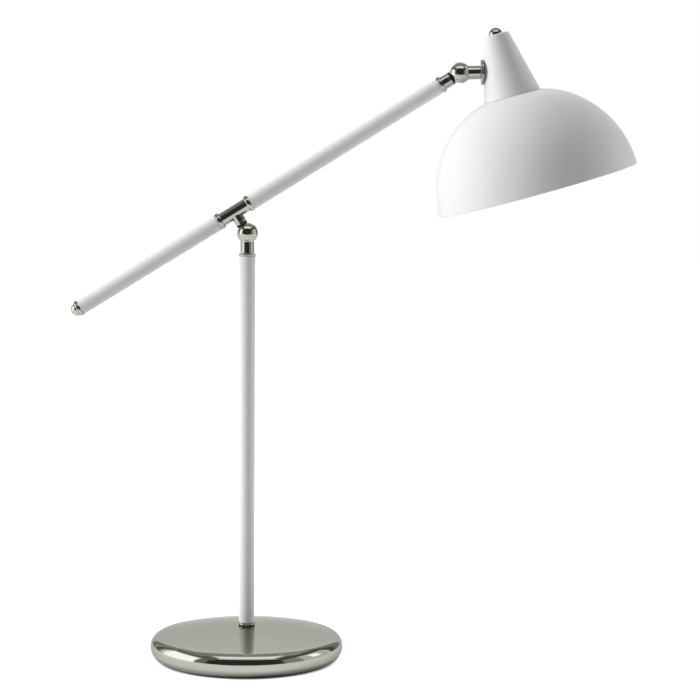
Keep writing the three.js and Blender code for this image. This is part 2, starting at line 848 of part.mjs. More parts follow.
function bulbOutline(radius, neck) {
  const centre = bulbTip + bulbRadius;
  const shoulder = THREE.MathUtils.radToDeg(Math.acos((neck + bulbShoulder) / radius));
  return [
    ...arc(0, centre, [radius, radius], -90, shoulder, bulbSteps),
    [neck, bulbCapBottom - seatGap],
  ];
}

function bulbGlass() {
  const outside = bulbOutline(bulbRadius, bulbNeckRadius);
  const inside = bulbOutline(bulbRadius - bulbWall, bulbNeckRadius - bulbWall).reverse();
  return turned([...outside, ...inside], smallSides);
}

// ---------- assembly ----------
function place(group, name, geometry, material) {
  const mesh = new THREE.Mesh(welded(geometry), material);
  mesh.name = name;
  group.add(mesh);
  return mesh;
}

const lamp = new THREE.Group();
place(lamp, 'base_pad', basePad(), padRubber);
place(lamp, 'base_weight', baseWeight(), castIron);
place(lamp, 'base_shell', baseShell(), nickel);
place(lamp, 'cord_bushing', cordBushing(), blackPlastic);
place(lamp, 'base_washer', baseWasher(), steel);
place(lamp, 'base_locknut', baseLocknut(), steel);
place(lamp, 'column_nipple', columnNipple(), steel);
place(lamp, 'column_foot', columnFoot(), nickel);
place(lamp, 'column_tube', tube(tubeBottom, columnTubeLength), whitePaint);
place(lamp, 'column_ferrule', columnFerrule(), nickel);

const lowerJoint = new THREE.Group();
lowerJoint.position.z = pivotZ;
lamp.add(lowerJoint);
place(lowerJoint, 'lower_ball_housing', lowerBallHousing(), nickel);
place(lowerJoint, 'lower_swivel_washer', swivelRing(), fibre);
place(lowerJoint, 'lower_swivel_nut', swivelNut(), steel);
place(lowerJoint, 'lower_pivot_screw', pivotScrew(), steel);
place(lowerJoint, 'lower_friction_disc_back', frictionDisc(1), fibre);
place(lowerJoint, 'lower_friction_disc_front', frictionDisc(-1), fibre);

const arm = new THREE.Group();
arm.rotation.y = -radians(armElevation);
lowerJoint.add(arm);
place(arm, 'lower_knuckle', knuckle(stemRadius), nickel);
place(arm, 'arm_tee', armTee(), nickel);

const armAxis = new THREE.Group();
armAxis.position.z = armOffset;
arm.add(armAxis);
place(armAxis, 'rear_arm_tube', alongX(tube(-rearTubeEnd, rearTubeLength)), whitePaint);
place(armAxis, 'front_arm_tube', alongX(tube(teeEnd + seatGap, frontTubeLength)), whitePaint);
place(armAxis, 'rear_end_plug', alongX(rearEndPlug()), nickel);
place(armAxis, 'counterweight', alongX(counterweight()), steel);
place(armAxis, 'front_ferrule', alongX(frontFerrule()), nickel);
const rearFinial = place(armAxis, 'rear_finial', finial(), nickel);
rearFinial.position.x = -plugFace;
rearFinial.rotation.y = -Math.PI / 2;

const head = new THREE.Group();
head.position.x = headReach;
armAxis.add(head);
const headKnuckle = place(head, 'head_knuckle', knuckle(neckRadius), nickel);
headKnuckle.rotation.y = -Math.PI / 2;

const neck = new THREE.Group();
neck.rotation.y = radians(headLean);
head.add(neck);
const headHousing = place(neck, 'head_ball_housing', headBallHousing(), nickel);
headHousing.rotation.y = -Math.PI / 2;
place(neck, 'head_pivot_screw', pivotScrew(), steel);
place(neck, 'head_friction_disc_back', frictionDisc(1), fibre);
place(neck, 'head_friction_disc_front', frictionDisc(-1), fibre);
place(neck, 'head_flange', headFlange(), nickel);
place(neck, 'head_nipple', headNipple(), steel);
place(neck, 'head_nipple_nut', nippleNut(), steel);
place(neck, 'shade_flange', shadeFlange(), nickel);
place(neck, 'shade_inner_saddle', innerSaddle(), steel);

const shade = new THREE.Group();
shade.applyMatrix4(shadePlace());
neck.add(shade);
place(shade, 'shade_dome', shadeDome(), whitePaint);
place(shade, 'shade_cone', shadeCone(), whitePaint);
place(shade, 'holder_stem', holderStem(), steel);
place(shade, 'lampholder_cap', lampholderCap(), whitePlastic);
place(shade, 'lampholder_body', lampholderBody(), whitePlastic);
place(shade, 'lampholder_core', lampholderCore(), ceramic);
place(shade, 'lampholder_sleeve', lampholderSleeve(), brass);
place(shade, 'centre_contact', centreContact(), brass);
place(shade, 'bulb_cap', bulbCap(), steel);
place(shade, 'bulb_glass', bulbGlass(), frostedGlass);
const topFinial = place(shade, 'top_finial', finial(), nickel);
topFinial.position.z = coneTopZ;

export default lamp;
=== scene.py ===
# %% [markdown]
# # A swing arm desk lamp
# The lamp is a round nickel base, a white column, a white arm balanced on a slotted ball joint
# and a domed white shade on a second ball joint. Nearly all of its parts are turned or spun on a
# lathe, so they are made here in the same way: half of a section is drawn as a line and spun
# about its axis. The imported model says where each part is, so the first step is to load it.

# %% Load the frame
import json
import math

import bmesh
import bpy
from mathutils import Matrix, Vector


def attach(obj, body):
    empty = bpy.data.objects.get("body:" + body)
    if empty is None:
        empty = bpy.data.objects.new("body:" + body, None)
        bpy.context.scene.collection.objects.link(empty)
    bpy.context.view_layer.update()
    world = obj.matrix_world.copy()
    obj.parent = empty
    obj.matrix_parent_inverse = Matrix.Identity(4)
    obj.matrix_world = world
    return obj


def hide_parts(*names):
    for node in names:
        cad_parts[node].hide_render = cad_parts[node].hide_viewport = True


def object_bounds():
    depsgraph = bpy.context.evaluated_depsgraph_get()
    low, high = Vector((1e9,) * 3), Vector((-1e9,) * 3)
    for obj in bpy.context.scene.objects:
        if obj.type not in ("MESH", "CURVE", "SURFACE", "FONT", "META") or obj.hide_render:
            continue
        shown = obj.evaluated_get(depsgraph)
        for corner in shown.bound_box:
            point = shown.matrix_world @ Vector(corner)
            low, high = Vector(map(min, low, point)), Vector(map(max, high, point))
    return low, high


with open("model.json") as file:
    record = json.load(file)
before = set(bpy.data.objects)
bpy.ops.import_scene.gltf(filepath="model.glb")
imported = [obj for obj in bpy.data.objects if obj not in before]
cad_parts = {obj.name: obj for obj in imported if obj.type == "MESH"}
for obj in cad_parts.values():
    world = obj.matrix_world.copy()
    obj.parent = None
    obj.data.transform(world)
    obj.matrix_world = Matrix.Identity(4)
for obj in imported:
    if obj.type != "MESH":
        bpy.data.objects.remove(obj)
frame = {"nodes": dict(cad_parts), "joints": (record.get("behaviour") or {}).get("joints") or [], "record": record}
cad_box = [list(corner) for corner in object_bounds()]
record = frame["record"]
scene = bpy.context.scene
scene.view_settings.view_transform = "Standard"
MM = 0.001
print("parts in the frame:", len(frame["nodes"]))
print("box of the frame in mm:", [[round(v / MM, 1) for v in corner] for corner in cad_box])

# %% [markdown]
# ## Camera
# A long lens a little over two metres away keeps the column upright and the base a flat ellipse.
# The camera looks slightly down. The last third of a degree of roll is how a hand-levelled
# tripod stands.

# %% Camera
CAMERA_PLACE = Vector((103.8, -2300, 536.1)) * MM
CAMERA_DOWN = 5.43  # degrees below level
CAMERA_ROLL = 0.347  # degrees
SENSOR = 36  # width in mm
LENS = 117.6994  # focal length in mm

camera_data = bpy.data.cameras.new("camera")
camera_data.sensor_width = SENSOR
camera_data.lens = LENS
camera = bpy.data.objects.new("camera", camera_data)
camera.matrix_world = (
    Matrix.Translation(CAMERA_PLACE)
    @ Matrix.Rotation(math.radians(90 - CAMERA_DOWN), 4, "X")
    @ Matrix.Rotation(math.radians(CAMERA_ROLL), 4, "Z")
)
scene.collection.objects.link(camera)
scene.camera = camera
print("camera stands in metres at:", [round(value, 2) for value in camera.location])

# %% [markdown]
# ## Colours and shader nodes
# A paint chart gives a colour as an sRGB hex value, but a shader works in linear light, so one
# function turns one into the other. A second one adds a shader node with its settings and its
# links, which keeps a material short enough to read. Light Path tells what kind of ray asks for
# a colour: one from the camera, one mirrored in metal, one seen through glass or one that
# carries light.


# %% Colour and node helpers
def linear(hex_value):
    """The linear colour of an sRGB hex value."""
    def channel(byte):
        share = byte / 255
        return share / 12.92 if share <= 0.04045 else ((share + 0.055) / 1.055) ** 2.4
    return (*(channel(hex_value >> shift & 255) for shift in (16, 8, 0)), 1.0)


def add_node(tree, kind, settings=None, inputs=None):
    """Adds a shader node. Inputs are named or numbered, and hold a value or a linked socket."""
    node = tree.nodes.new("ShaderNode" + kind)
    for name, value in (settings or {}).items():
        setattr(node, name, value)
    for name, value in (inputs or {}).items():
        if isinstance(value, bpy.types.NodeSocket):
            tree.links.new(value, node.inputs[name])
        else:
            node.inputs[name].default_value = value
    return node


def new_material(name):
    """An empty material and its node tree."""
    material = bpy.data.materials.new(name)
    material.use_nodes = True
    material.node_tree.nodes.clear()
    return material, material.node_tree


def per(size_mm):
    """The scale of a pattern whose features are this many millimetres apart."""
    return 1 / (size_mm * MM)


def any_of(tree, *kinds):
    """Light Path's answer to whether a ray is one of these kinds: 1 or 0."""
    rays = add_node(tree, "LightPath")
    answer, *others = (rays.outputs[f"Is {kind} Ray"] for kind in kinds)
    for other in others:
        answer = add_node(tree, "Math", {"operation": "MAXIMUM"}, {0: answer, 1: other}).outputs[0]
    return answer


# %% [markdown]
# ## Studio
# The background is plain white, and polished metal shows that white too. Light Path's outputs
# give those rays the full white, while the light that reaches the lamp stays at a plain level.
# A large softbox stands at the left, a weaker one at the right and a little behind, and a small
# one hangs overhead. None is seen in the metal: what the metal shows is set by card, which is
# easier to place than a lamp.

# %% World
AMBIENT = 0.16  # strength of the light that comes from all round
WHITE = 1.0

world = bpy.data.worlds.new("studio")
scene.world = world
world.use_nodes = True
sky = world.node_tree
sky.nodes.clear()
room = add_node(sky, "Background", None, {"Color": linear(0xF8F8F8), "Strength": AMBIENT})
backdrop = add_node(sky, "Background", None, {"Color": linear(0xFFFFFF), "Strength": WHITE})
either = add_node(sky, "MixShader", None, {
    0: any_of(sky, "Camera", "Glossy", "Transmission"), 1: room.outputs[0], 2: backdrop.outputs[0]})
add_node(sky, "OutputWorld", None, {"Surface": either.outputs[0]})
print("ambient strength:", AMBIENT)


# %% Softboxes
def softbox(name, place, aim, size, power, colour=0xFFFFFF):
    """A rectangular area lamp, in metres and watts, that faces a point."""
    data = bpy.data.lights.new(name, "AREA")
    data.shape = "RECTANGLE"
    data.size, data.size_y = size
    data.energy = power
    data.color = linear(colour)[:3]
    lamp = bpy.data.objects.new(name, data)
    lamp.location = place
    lamp.rotation_euler = (Vector(aim) - Vector(place)).to_track_quat("-Z", "Y").to_euler()
    lamp.visible_glossy = False
    scene.collection.objects.link(lamp)
    print(name, "power in watts:", power)


MIDDLE = (0.1, 0, 0.4)
softbox("left_softbox", (-3.2, -0.45, 1.55), MIDDLE, (2.5, 2.6), 114)
softbox("right_softbox", (2.9, 0.55, 0.95), MIDDLE, (1.3, 2.0), 31)
softbox("top_softbox", (0.1, 0.5, 2.4), MIDDLE, (1.6, 1.4), 14)

# %% [markdown]
# ## Floor and cards
# The floor is pale. To the camera and in the metal it glows white away from the base, and its glow fades out near
# the base, which paints a shadow round it. Its paper also keeps the lamp's own shadow. A polished ball shows the
# whole room, so a photographer stands cards round it. Black and grey ones, called flags, draw the dark heart and
# the dark rim into the metal, and white ones, called reflectors, draw the lights. They're seen only in
# reflections.


# %% Cards
def stage_card(name, size, place, tilt, material):
    """A flat rectangle in metres that belongs to the studio and not to the lamp."""
    bm = bmesh.new()
    bmesh.ops.create_grid(bm, x_segments=1, y_segments=1, size=0.5)
    bmesh.ops.scale(bm, vec=(size[0], size[1], 1), verts=bm.verts)
    mesh = bpy.data.meshes.new(name)
    bm.to_mesh(mesh)
    bm.free()
    card = bpy.data.objects.new(name, mesh)
    card.data.materials.append(material)
    card.location = place
    card.rotation_euler = [math.radians(angle) for angle in tilt]
    scene.collection.objects.link(card)
    return card


# Metres from the middle of the base where a glow starts and where it is full, and its strength. Nearer the base
# the floor has no glow, which paints a shadow round the base.
MIRRORED_GLOW_PAST_PAINTED_SHADOW = (0.090, 0.106, 0.45)
CAMERA_GLOW_PAST_PAINTED_SHADOW = (0.086, 0.095, 0.8)


def floor_finish():
    """Pale seamless paper that keeps the lamp's shadow, with a glow that fades out near the base as a painted
    shadow round it.
    """
    material, tree = new_material("seamless_paper")
    paper = add_node(tree, "BsdfDiffuse", None, {"Color": linear(0xF4F4F4)})
    place = add_node(tree, "TexCoord")
    distance = add_node(tree, "VectorMath", {"operation": "LENGTH"}, {0: place.outputs["Object"]})

    def rising(start, full, strength):
        inputs = {"Value": distance.outputs["Value"], "From Min": start, "From Max": full,
                  "To Min": 0.0, "To Max": strength}
        return add_node(tree, "MapRange", {"interpolation_type": "SMOOTHSTEP"}, inputs).outputs[0]

    # Each glow starts only past its radius, so the floor is darker next to the base: a painted shadow.
    seen = add_node(tree, "Math", {"operation": "MULTIPLY"},
                    {0: rising(*CAMERA_GLOW_PAST_PAINTED_SHADOW), 1: any_of(tree, "Camera")})
    strength = add_node(tree, "Math", {"operation": "ADD"},
                        {0: rising(*MIRRORED_GLOW_PAST_PAINTED_SHADOW), 1: seen.outputs[0]})
    glow = add_node(tree, "Emission", None, {"Strength": strength.outputs[0]})
    shown = add_node(tree, "AddShader", None, {0: paper.outputs[0], 1: glow.outputs[0]})
    either = add_node(tree, "MixShader", None, {
        0: any_of(tree, "Camera", "Glossy"), 1: paper.outputs[0], 2: shown.outputs[0]})
    add_node(tree, "OutputMaterial", None, {"Surface": either.outputs[0]})
    material.cycles.emission_sampling = "NONE"  # the glow is for looks, so it is no lamp
    return material


def card_finish(name, colour, strength):
    """Matt card that metal sees at one even level."""
    material, tree = new_material(name)
    card = add_node(tree, "Emission", None, {"Color": linear(colour), "Strength": strength})
    add_node(tree, "OutputMaterial", None, {"Surface": card.outputs[0]})
    material.cycles.emission_sampling = "NONE"
    return material


stage_card("floor", (14, 14), (0, 0, 0), (0, 0, 0), floor_finish())
TONES = {  # the colour of a card and how bright it is
    "black": (0x3A3A36, 1.0), "coal": (0x60605C, 1.0), "charcoal": (0x7C7C78, 1.0),
    "shade": (0x8A8A86, 1.0), "grey": (0xA2A29E, 1.0), "mist": (0xA8A8A4, 1.0),
    "pale": (0xFFFFFF, 0.8), "white": (0xFFFFFF, 1.5), "glowing": (0xFFFFFF, 2.0),
}
tones = {name: card_finish(name + "_card", *tone) for name, tone in TONES.items()}
CARDS = (  # name, tone, width and height, place, and turn about Z of a card that stands up
    ("dark_wall", "black", (15.0, 8.2), (1.1, -6.0, 4.1), 0),
    ("left_grey", "shade", (1.35, 2.6), (-2.42, -1.7, 1.32), 0),
    ("left_reflector", "glowing", (1.93, 1.60), (-2.0, -0.16, 0.86), 90),
    ("upper_left_flag", "charcoal", (2.9, 1.8), (-1.6, -0.45, 2.4), 90),
    ("left_flag", "charcoal", (0.58, 4.0), (-1.745, 1.34, 2.15), 51),
    ("left_back_flag", "grey", (0.50, 2.6), (-1.31, 1.77, 1.4), 36),
    ("right_grey", "mist", (1.03, 1.4), (1.7, -1.07, 0.72), 90),
    ("right_reflector", "pale", (2.0, 1.25), (2.0, -0.10, 0.70), 90),
    ("right_strip", "glowing", (0.5, 0.75), (1.9, 0.15, 0.85), 83),
    ("upper_right_flag", "coal", (2.7, 1.6), (1.7, -0.25, 2.15), 90),
    ("right_flag", "coal", (0.55, 4.0), (1.76, 1.32, 2.15), -53),
    ("right_back_flag", "grey", (0.62, 2.6), (1.35, 1.73, 1.4), -38),
)
SHELVES = (  # the same for cards that lie flat
    ("dark_table", "black", (8.0, 5.2), (0.0, -4.05, 0.004)),
    ("ceiling_flag", "grey", (3.4, 1.55), (0.10, 0.52, 2.2)),
    ("top_reflector", "white", (1.90, 0.65), (0.10, -0.63, 2.0)),
)
cards = [stage_card(name, size, place, (90, 0, turn), tones[tone])
         for name, tone, size, place, turn in CARDS]
cards += [stage_card(name, size, place, (0, 0, 0), tones[tone])
          for name, tone, size, place in SHELVES]
for card in cards:
    card.visible_camera = False
    card.visible_diffuse = False
    card.visible_shadow = False
    card.visible_transmission = False
print("cards:", [card.name for card in cards])

# %% [markdown]
# ## Finishes
# Each finish starts from what the real surface is. The numbers for gloss are typical ones for
# that material, and every pattern has its size in millimetres.


# %% Pattern helpers
def object_place(tree):
    """Object coordinates, so that a pattern sits still on its piece."""
    return add_node(tree, "TexCoord").outputs["Object"]


def spread(tree, value, low, high, source=(0.0, 1.0)):
    """Stretches a pattern's range of values to low and high."""
    return add_node(tree, "MapRange", None, {
        "Value": value, "From Min": source[0], "From Max": source[1],
        "To Min": low, "To Max": high}).outputs[0]


def noise(tree, size_mm, detail=2.0, roughness=0.5):
    """Cloudy noise with features of that size."""
    return add_node(tree, "TexNoise", None, {
        "Vector": object_place(tree), "Scale": per(size_mm),
        "Detail": detail, "Roughness": roughness}).outputs["Fac"]


def relief(tree, height, depth_mm):
    """Turns a height from 0 to 1 into a relief that is that deep."""
    return add_node(tree, "Bump", None, {
        "Height": height, "Distance": depth_mm * MM, "Strength": 1.0}).outputs[0]


def between(tree, share, first, second):
    """A colour between two, by a share."""
    mix = add_node(tree, "Mix", {"data_type": "RGBA"})
    tree.links.new(share, mix.inputs[0])
    mix.inputs[6].default_value = linear(first)
    mix.inputs[7].default_value = linear(second)
    return mix.outputs[2]


def surface(tree, **inputs):
    """The shader and the output of a solid finish."""
    named = {name.replace("_", " "): value for name, value in inputs.items()}
    shader = add_node(tree, "BsdfPrincipled", None, named)
    add_node(tree, "OutputMaterial", None, {"Surface": shader.outputs[0]})


# %% [markdown]
# ### Polished nickel
# Brass or steel, buffed and then nickel plated. Buffing leaves a mirror with a faint warm tone
# and the least haze, which drifts over a few centimetres where it was handled, and hairlines a
# few tenths of a millimetre apart that show only in the highlights.

# %% Polished nickel
def polished_nickel():
    material, tree = new_material("polished_nickel")
    haze = noise(tree, 38, 3.0)
    drawn_out = add_node(tree, "Mapping", None, {
        "Vector": object_place(tree), "Scale": (1.0, 1.0, 0.08)})
    hairline = add_node(tree, "TexNoise", None, {
        "Vector": drawn_out.outputs[0], "Scale": per(0.35), "Detail": 2.0})
    rough = add_node(tree, "Math", {"operation": "ADD"}, {
        0: spread(tree, haze, 0.06, 0.12, (0.3, 0.7)),
        1: spread(tree, hairline.outputs["Fac"], -0.015, 0.02)})
    surface(tree, Base_Color=between(tree, haze, 0xB2B2AA, 0xB9B9B1), Metallic=1.0,
            Specular_Tint=linear(0xCECECA), Roughness=rough.outputs[0],
            Normal=relief(tree, haze, 0.012))
    return material


# %% [markdown]
# ### White powder coat
# Sprayed and baked paint. It flows into a fine orange peel with bumps a little under a
# millimetre apart, it scatters light softly, and its tone drifts by a hair over the surface.

# %% White powder coat
def white_paint():
    material, tree = new_material("white_powder_coat")
    drift = noise(tree, 60)
    peel = noise(tree, 0.9, 2.0, 0.4)
    surface(tree, Base_Color=between(tree, drift, 0xF1F1F1, 0xF4F4F4), IOR=1.5,
            Specular_IOR_Level=0.25, Normal=relief(tree, peel, 0.003),
            Roughness=spread(tree, noise(tree, 6, 3.0), 0.36, 0.48, (0.3, 0.7)))
    return material


# %% [markdown]
# ### Zinc plated steel
# Screws, nuts and pipes are turned from bar and bright zinc plated: a cool grey with the fine
# marks of the tool, and a broken sheen where zinc grew in small crystals.

# %% Zinc plated steel
def zinc_steel():
    material, tree = new_material("zinc_plated_steel")
    crystal = noise(tree, 1.6, 3.0)
    surface(tree, Base_Color=between(tree, crystal, 0x9C9EA1, 0xB0B2B4), Metallic=1.0,
            Roughness=spread(tree, crystal, 0.26, 0.42, (0.3, 0.7)),
            Normal=relief(tree, noise(tree, 0.25, 1.0), 0.004))
    return material


# %% [markdown]
# ### Cast iron, brass, rubber and fibre
# The weight is a rough sand casting with a coat of black paint. The lamp sleeve and the contact
# are rolled brass. The pad is black rubber with a fine leathery grain, and the friction discs
# are red-brown vulcanised fibre, which shows its pressed layers as soft flecks.

# %% Cast iron, brass, rubber and fibre
def cast_iron():
    material, tree = new_material("painted_cast_iron")
    sand = noise(tree, 1.4, 4.0, 0.6)
    surface(tree, Base_Color=between(tree, sand, 0x232425, 0x343537), Metallic=0.0,
            Roughness=spread(tree, sand, 0.6, 0.85), Normal=relief(tree, sand, 0.25))
    return material


def brass():
    material, tree = new_material("rolled_brass")
    tarnish = noise(tree, 5, 3.0)
    surface(tree, Base_Color=between(tree, tarnish, 0xC0984A, 0xD6B56A), Metallic=1.0,
            Roughness=spread(tree, tarnish, 0.22, 0.38),
            Normal=relief(tree, noise(tree, 0.4), 0.004))
    return material


def pad_rubber():
    material, tree = new_material("black_rubber")
    grain = noise(tree, 0.8, 3.0)
    surface(tree, Base_Color=between(tree, noise(tree, 20), 0x1B1B1D, 0x242426), IOR=1.52,
            Roughness=spread(tree, grain, 0.72, 0.9), Normal=relief(tree, grain, 0.05))
    return material


def fibre():
    material, tree = new_material("vulcanised_fibre")
    fleck = noise(tree, 0.7, 3.0)
    surface(tree, Base_Color=between(tree, fleck, 0x5E3C28, 0x7A5138), IOR=1.5,
            Roughness=spread(tree, fleck, 0.55, 0.75), Normal=relief(tree, fleck, 0.02))
    return material


# %% [markdown]
# ### Plastics, ceramic and glass
# The cord bush is black nylon and the lampholder is white thermoset, both moulded, with a fine
# spark-eroded texture from the tool. The block inside the holder is unglazed steatite. The bulb
# is frosted inside, so it glows softly all over and never shows a hard edge through it.

# %% Plastics, ceramic and glass
def moulded_plastic(name, dark, light, gloss):
    material, tree = new_material(name)
    texture = noise(tree, 0.5, 2.0)
    surface(tree, Base_Color=between(tree, noise(tree, 15), dark, light), IOR=1.49,
            Roughness=spread(tree, texture, gloss - 0.05, gloss + 0.07),
            Normal=relief(tree, texture, 0.015))
    return material


def ceramic():
    material, tree = new_material("steatite")
    grain = noise(tree, 0.6, 4.0)
    surface(tree, Base_Color=between(tree, grain, 0xDAD6CC, 0xE8E4DA), IOR=1.55,
            Roughness=spread(tree, grain, 0.5, 0.65), Normal=relief(tree, grain, 0.03))
    return material


def frosted_glass():
    material, tree = new_material("frosted_glass")
    frost = noise(tree, 0.6, 3.0)
    surface(tree, Base_Color=between(tree, frost, 0xF4F2EE, 0xFAF9F6), IOR=1.5,
            Roughness=spread(tree, frost, 0.3, 0.42), Normal=relief(tree, frost, 0.01),
            Subsurface_Weight=0.4, Subsurface_Scale=3 * MM, Subsurface_Radius=(1.0, 1.0, 1.0))
    return material


finishes = {
    "polished_nickel": polished_nickel(),
    "white_paint": white_paint(),
    "zinc_steel": zinc_steel(),
    "cast_iron": cast_iron(),
    "brass": brass(),
    "black_plastic": moulded_plastic("black_nylon", 0x161617, 0x1E1E1F, 0.42),
    "white_plastic": moulded_plastic("white_thermoset", 0xE6E4DE, 0xEDEBE6, 0.38),
    "ceramic": ceramic(),
    "fibre": fibre(),
    "pad_rubber": pad_rubber(),
    "frosted_glass": frosted_glass(),
}
slot_of = {part["node"]: part["material_slot"] for part in record["subparts"]}
body_of = {node: body for body, nodes in record["behaviour"]["bodies"].items() for node in nodes}
for node, part in frame["nodes"].items():
    part.data.materials.clear()
    part.data.materials.append(finishes[slot_of[node]])
print("finishes:", len(finishes))

# %% [markdown]
# ## Places
# Every part lies along some axis of the lamp: the column, the arm, the neck or the shade. A
# place is the matrix of such an axis, with +Z along it. A part is drawn upright in millimetres
# about its own axis, and its place carries it into the lamp. The pivots come from the joints.

# %% Places
ARM_RISES = 31.95  # degrees
SHADE_LEANS = 15.85
ARM_OFFSET = 24.4  # pivot to the arm's axis, in mm

joints = {joint["name"]: joint for joint in frame["joints"]}
lower_pivot = Vector(joints["arm_tilt"]["pos_m"])
head_pivot = Vector(joints["head_tilt"]["pos_m"])
neck_axis = joints["shade_swivel"]["axis"]
neck_rises = math.degrees(math.atan2(neck_axis[2], neck_axis[0]))


def leaning(degrees):
    """A turn about Y, from +Z towards +X."""
    return Matrix.Rotation(math.radians(degrees), 4, "Y")


upright = Matrix.Identity(4)
lower_ball = Matrix.Translation(lower_pivot)
arm_up = lower_ball @ leaning(-ARM_RISES)
arm_along = arm_up @ Matrix.Translation((0, 0, ARM_OFFSET * MM)) @ leaning(90)
arm_end_back = Matrix.Translation(head_pivot) @ leaning(-ARM_RISES - 90)
neck_along = Matrix.Translation(head_pivot) @ leaning(90 - neck_rises)
neck_back = Matrix.Translation(head_pivot) @ leaning(-90 - neck_rises)


def span(node, place):
    """The lowest and highest corner of a CAD node in a place's own axes, in mm."""
    back = place.inverted()
    corners = [back @ vertex.co / MM for vertex in frame["nodes"][node].data.vertices]
    return [Vector(limit(corner[axis] for corner in corners) for axis in range(3))
            for limit in (min, max)]


def ends(node, place):
    """Where a CAD node starts and ends along a place's axis, in mm."""
    return [corner.z for corner in span(node, place)]


rim_low, rim_high = span("shade_dome", leaning(-SHADE_LEANS))
rim_middle = leaning(-SHADE_LEANS) @ Vector(((rim_low.x + rim_high.x) / 2, 0, rim_low.z)) * MM
shade_up = Matrix.Translation(rim_middle) @ leaning(-SHADE_LEANS)
print("neck rises by", round(neck_rises, 2), "degrees")
print("middle of the shade's rim in mm:", [round(v / MM, 1) for v in rim_middle])

# %% [markdown]
# ## The lathe
# Half a section is drawn with a pen that runs anticlockwise round it. A corner is a point, and
# a third number rounds it with a bevel. A swing turns the pen about a centre, which draws an
# arc. Spinning the line about Z then makes the whole surface, as a lathe does.


# %% Section pen
def swing(centre, degrees, steps, squash=1.0):
    """An arc of the pen about a centre, anticlockwise. Squash flattens it towards the centre."""
    return {"centre": centre, "degrees": degrees, "steps": steps, "squash": squash}


def draw(steps, closed):
    """A bmesh with the line of a section in the XZ plane, in mm."""
    bm = bmesh.new()
    pen = start = None
    rounded = {}
    for step in steps:
        if isinstance(step, dict):
            cx, cz = step["centre"]
            drawn = set(bm.verts)
            arc = bmesh.ops.spin(bm, geom=[pen], cent=(cx, 0, cz), axis=(0, -1, 0),
                                 angle=math.radians(step["degrees"]), steps=step["steps"])
            pen = next(item for item in arc["geom_last"] if isinstance(item, bmesh.types.BMVert))
            for vert in set(bm.verts) - drawn:
                vert.co.x = cx + (vert.co.x - cx) * step["squash"]
            continue
        corner = bm.verts.new((step[0], 0, step[1]))
        if pen:
            bm.edges.new((pen, corner))
        else:
            start = corner
        if len(step) == 3:
            rounded.setdefault(step[2], []).append(corner)
        pen = corner
    if closed:
        bm.edges.new((pen, start))
    bmesh.ops.remove_doubles(bm, verts=bm.verts, dist=1e-5)
    for fillet, corners in rounded.items():
        left = [corner for corner in corners if corner.is_valid]
        bmesh.ops.bevel(bm, geom=left, offset=fillet, offset_type="OFFSET", segments=3,
                        profile=0.5, affect="VERTICES", material=-1, clamp_overlap=True)
    return bm


def turned(*steps, sides=64, closed=False):
    """A solid of revolution about Z from a section in mm."""
    bm = draw(steps, closed)
    bmesh.ops.spin(bm, geom=bm.verts[:] + bm.edges[:], cent=(0, 0, 0), axis=(0, 0, 1),
                   angle=math.tau, steps=sides, use_merge=True)
    bmesh.ops.remove_doubles(bm, verts=bm.verts, dist=1e-4)
    bmesh.ops.recalc_face_normals(bm, faces=bm.faces)
    return bm


# %% [markdown]
# ## Cuts and joints
# A slot or a drilled hole is cut with a Boolean modifier, whose result replaces the mesh, so no
# modifier is left on the piece. The cutter is a bmesh too. Edges that a cut leaves sharp are
# broken with a narrow bevel, as a fitter breaks them with a file, and they then catch the light.


# %% Boolean and bevel
NEAR = 0.05  # an edge counts as lying on a surface when its middle is this near, in mm
CLEAR = 5.0  # how far a cutter reaches past what it cuts


def as_object(bm):
    """A scratch object around a bmesh, which is used up."""
    mesh = bpy.data.meshes.new("scratch")
    bm.to_mesh(mesh)
    bm.free()
    scratch = bpy.data.objects.new("scratch", mesh)
    scene.collection.objects.link(scratch)
    return scratch


def combine(bm, cutter, operation):
    """Joins, cuts or intersects two closed bmeshes and uses both up."""
    body, tool = as_object(bm), as_object(cutter)
    modifier = body.modifiers.new("combine", "BOOLEAN")
    modifier.operation = operation
    modifier.solver = "EXACT"
    modifier.object = tool
    result = bmesh.new()
    result.from_object(body, bpy.context.evaluated_depsgraph_get())
    for scratch in (body, tool):
        mesh = scratch.data
        bpy.data.objects.remove(scratch)
        bpy.data.meshes.remove(mesh)
    bmesh.ops.remove_doubles(result, verts=result.verts, dist=1e-4)
    return result


def moved(bm, matrix):
    """The same bmesh, carried by a matrix."""
    bmesh.ops.transform(bm, matrix=matrix, verts=bm.verts)
    return bm


def break_edges(bm, width, inside, steps=2, least=35):
    """Bevels the sharp edges whose middle a test says are inside."""
    least = math.radians(least)
    edges = []
    for edge in bm.edges:
        middle = (edge.verts[0].co + edge.verts[1].co) / 2
        if len(edge.link_faces) == 2 and edge.calc_face_angle() > least and inside(middle):
            edges.append(edge)
    bmesh.ops.bevel(bm, geom=edges, offset=width, offset_type="OFFSET", segments=steps,
                    profile=0.5, affect="EDGES", material=-1, clamp_overlap=True)
    return bm


# %% [markdown]
# ## Handing over a piece
# A finished piece goes to its place, takes the material of its slot, rides on the body of the
# part that it stands for and hides that part. Its object stays at the origin, because the place
# is in the mesh. Edges over 32 degrees stay crisp and everything else is shaded smooth. The
# narrow bevel beside a long face would bend its shading, so the normals lean to the larger
# faces with a Weighted Normal modifier.

# %% Hand over
CRISP = math.radians(32)
made = {}


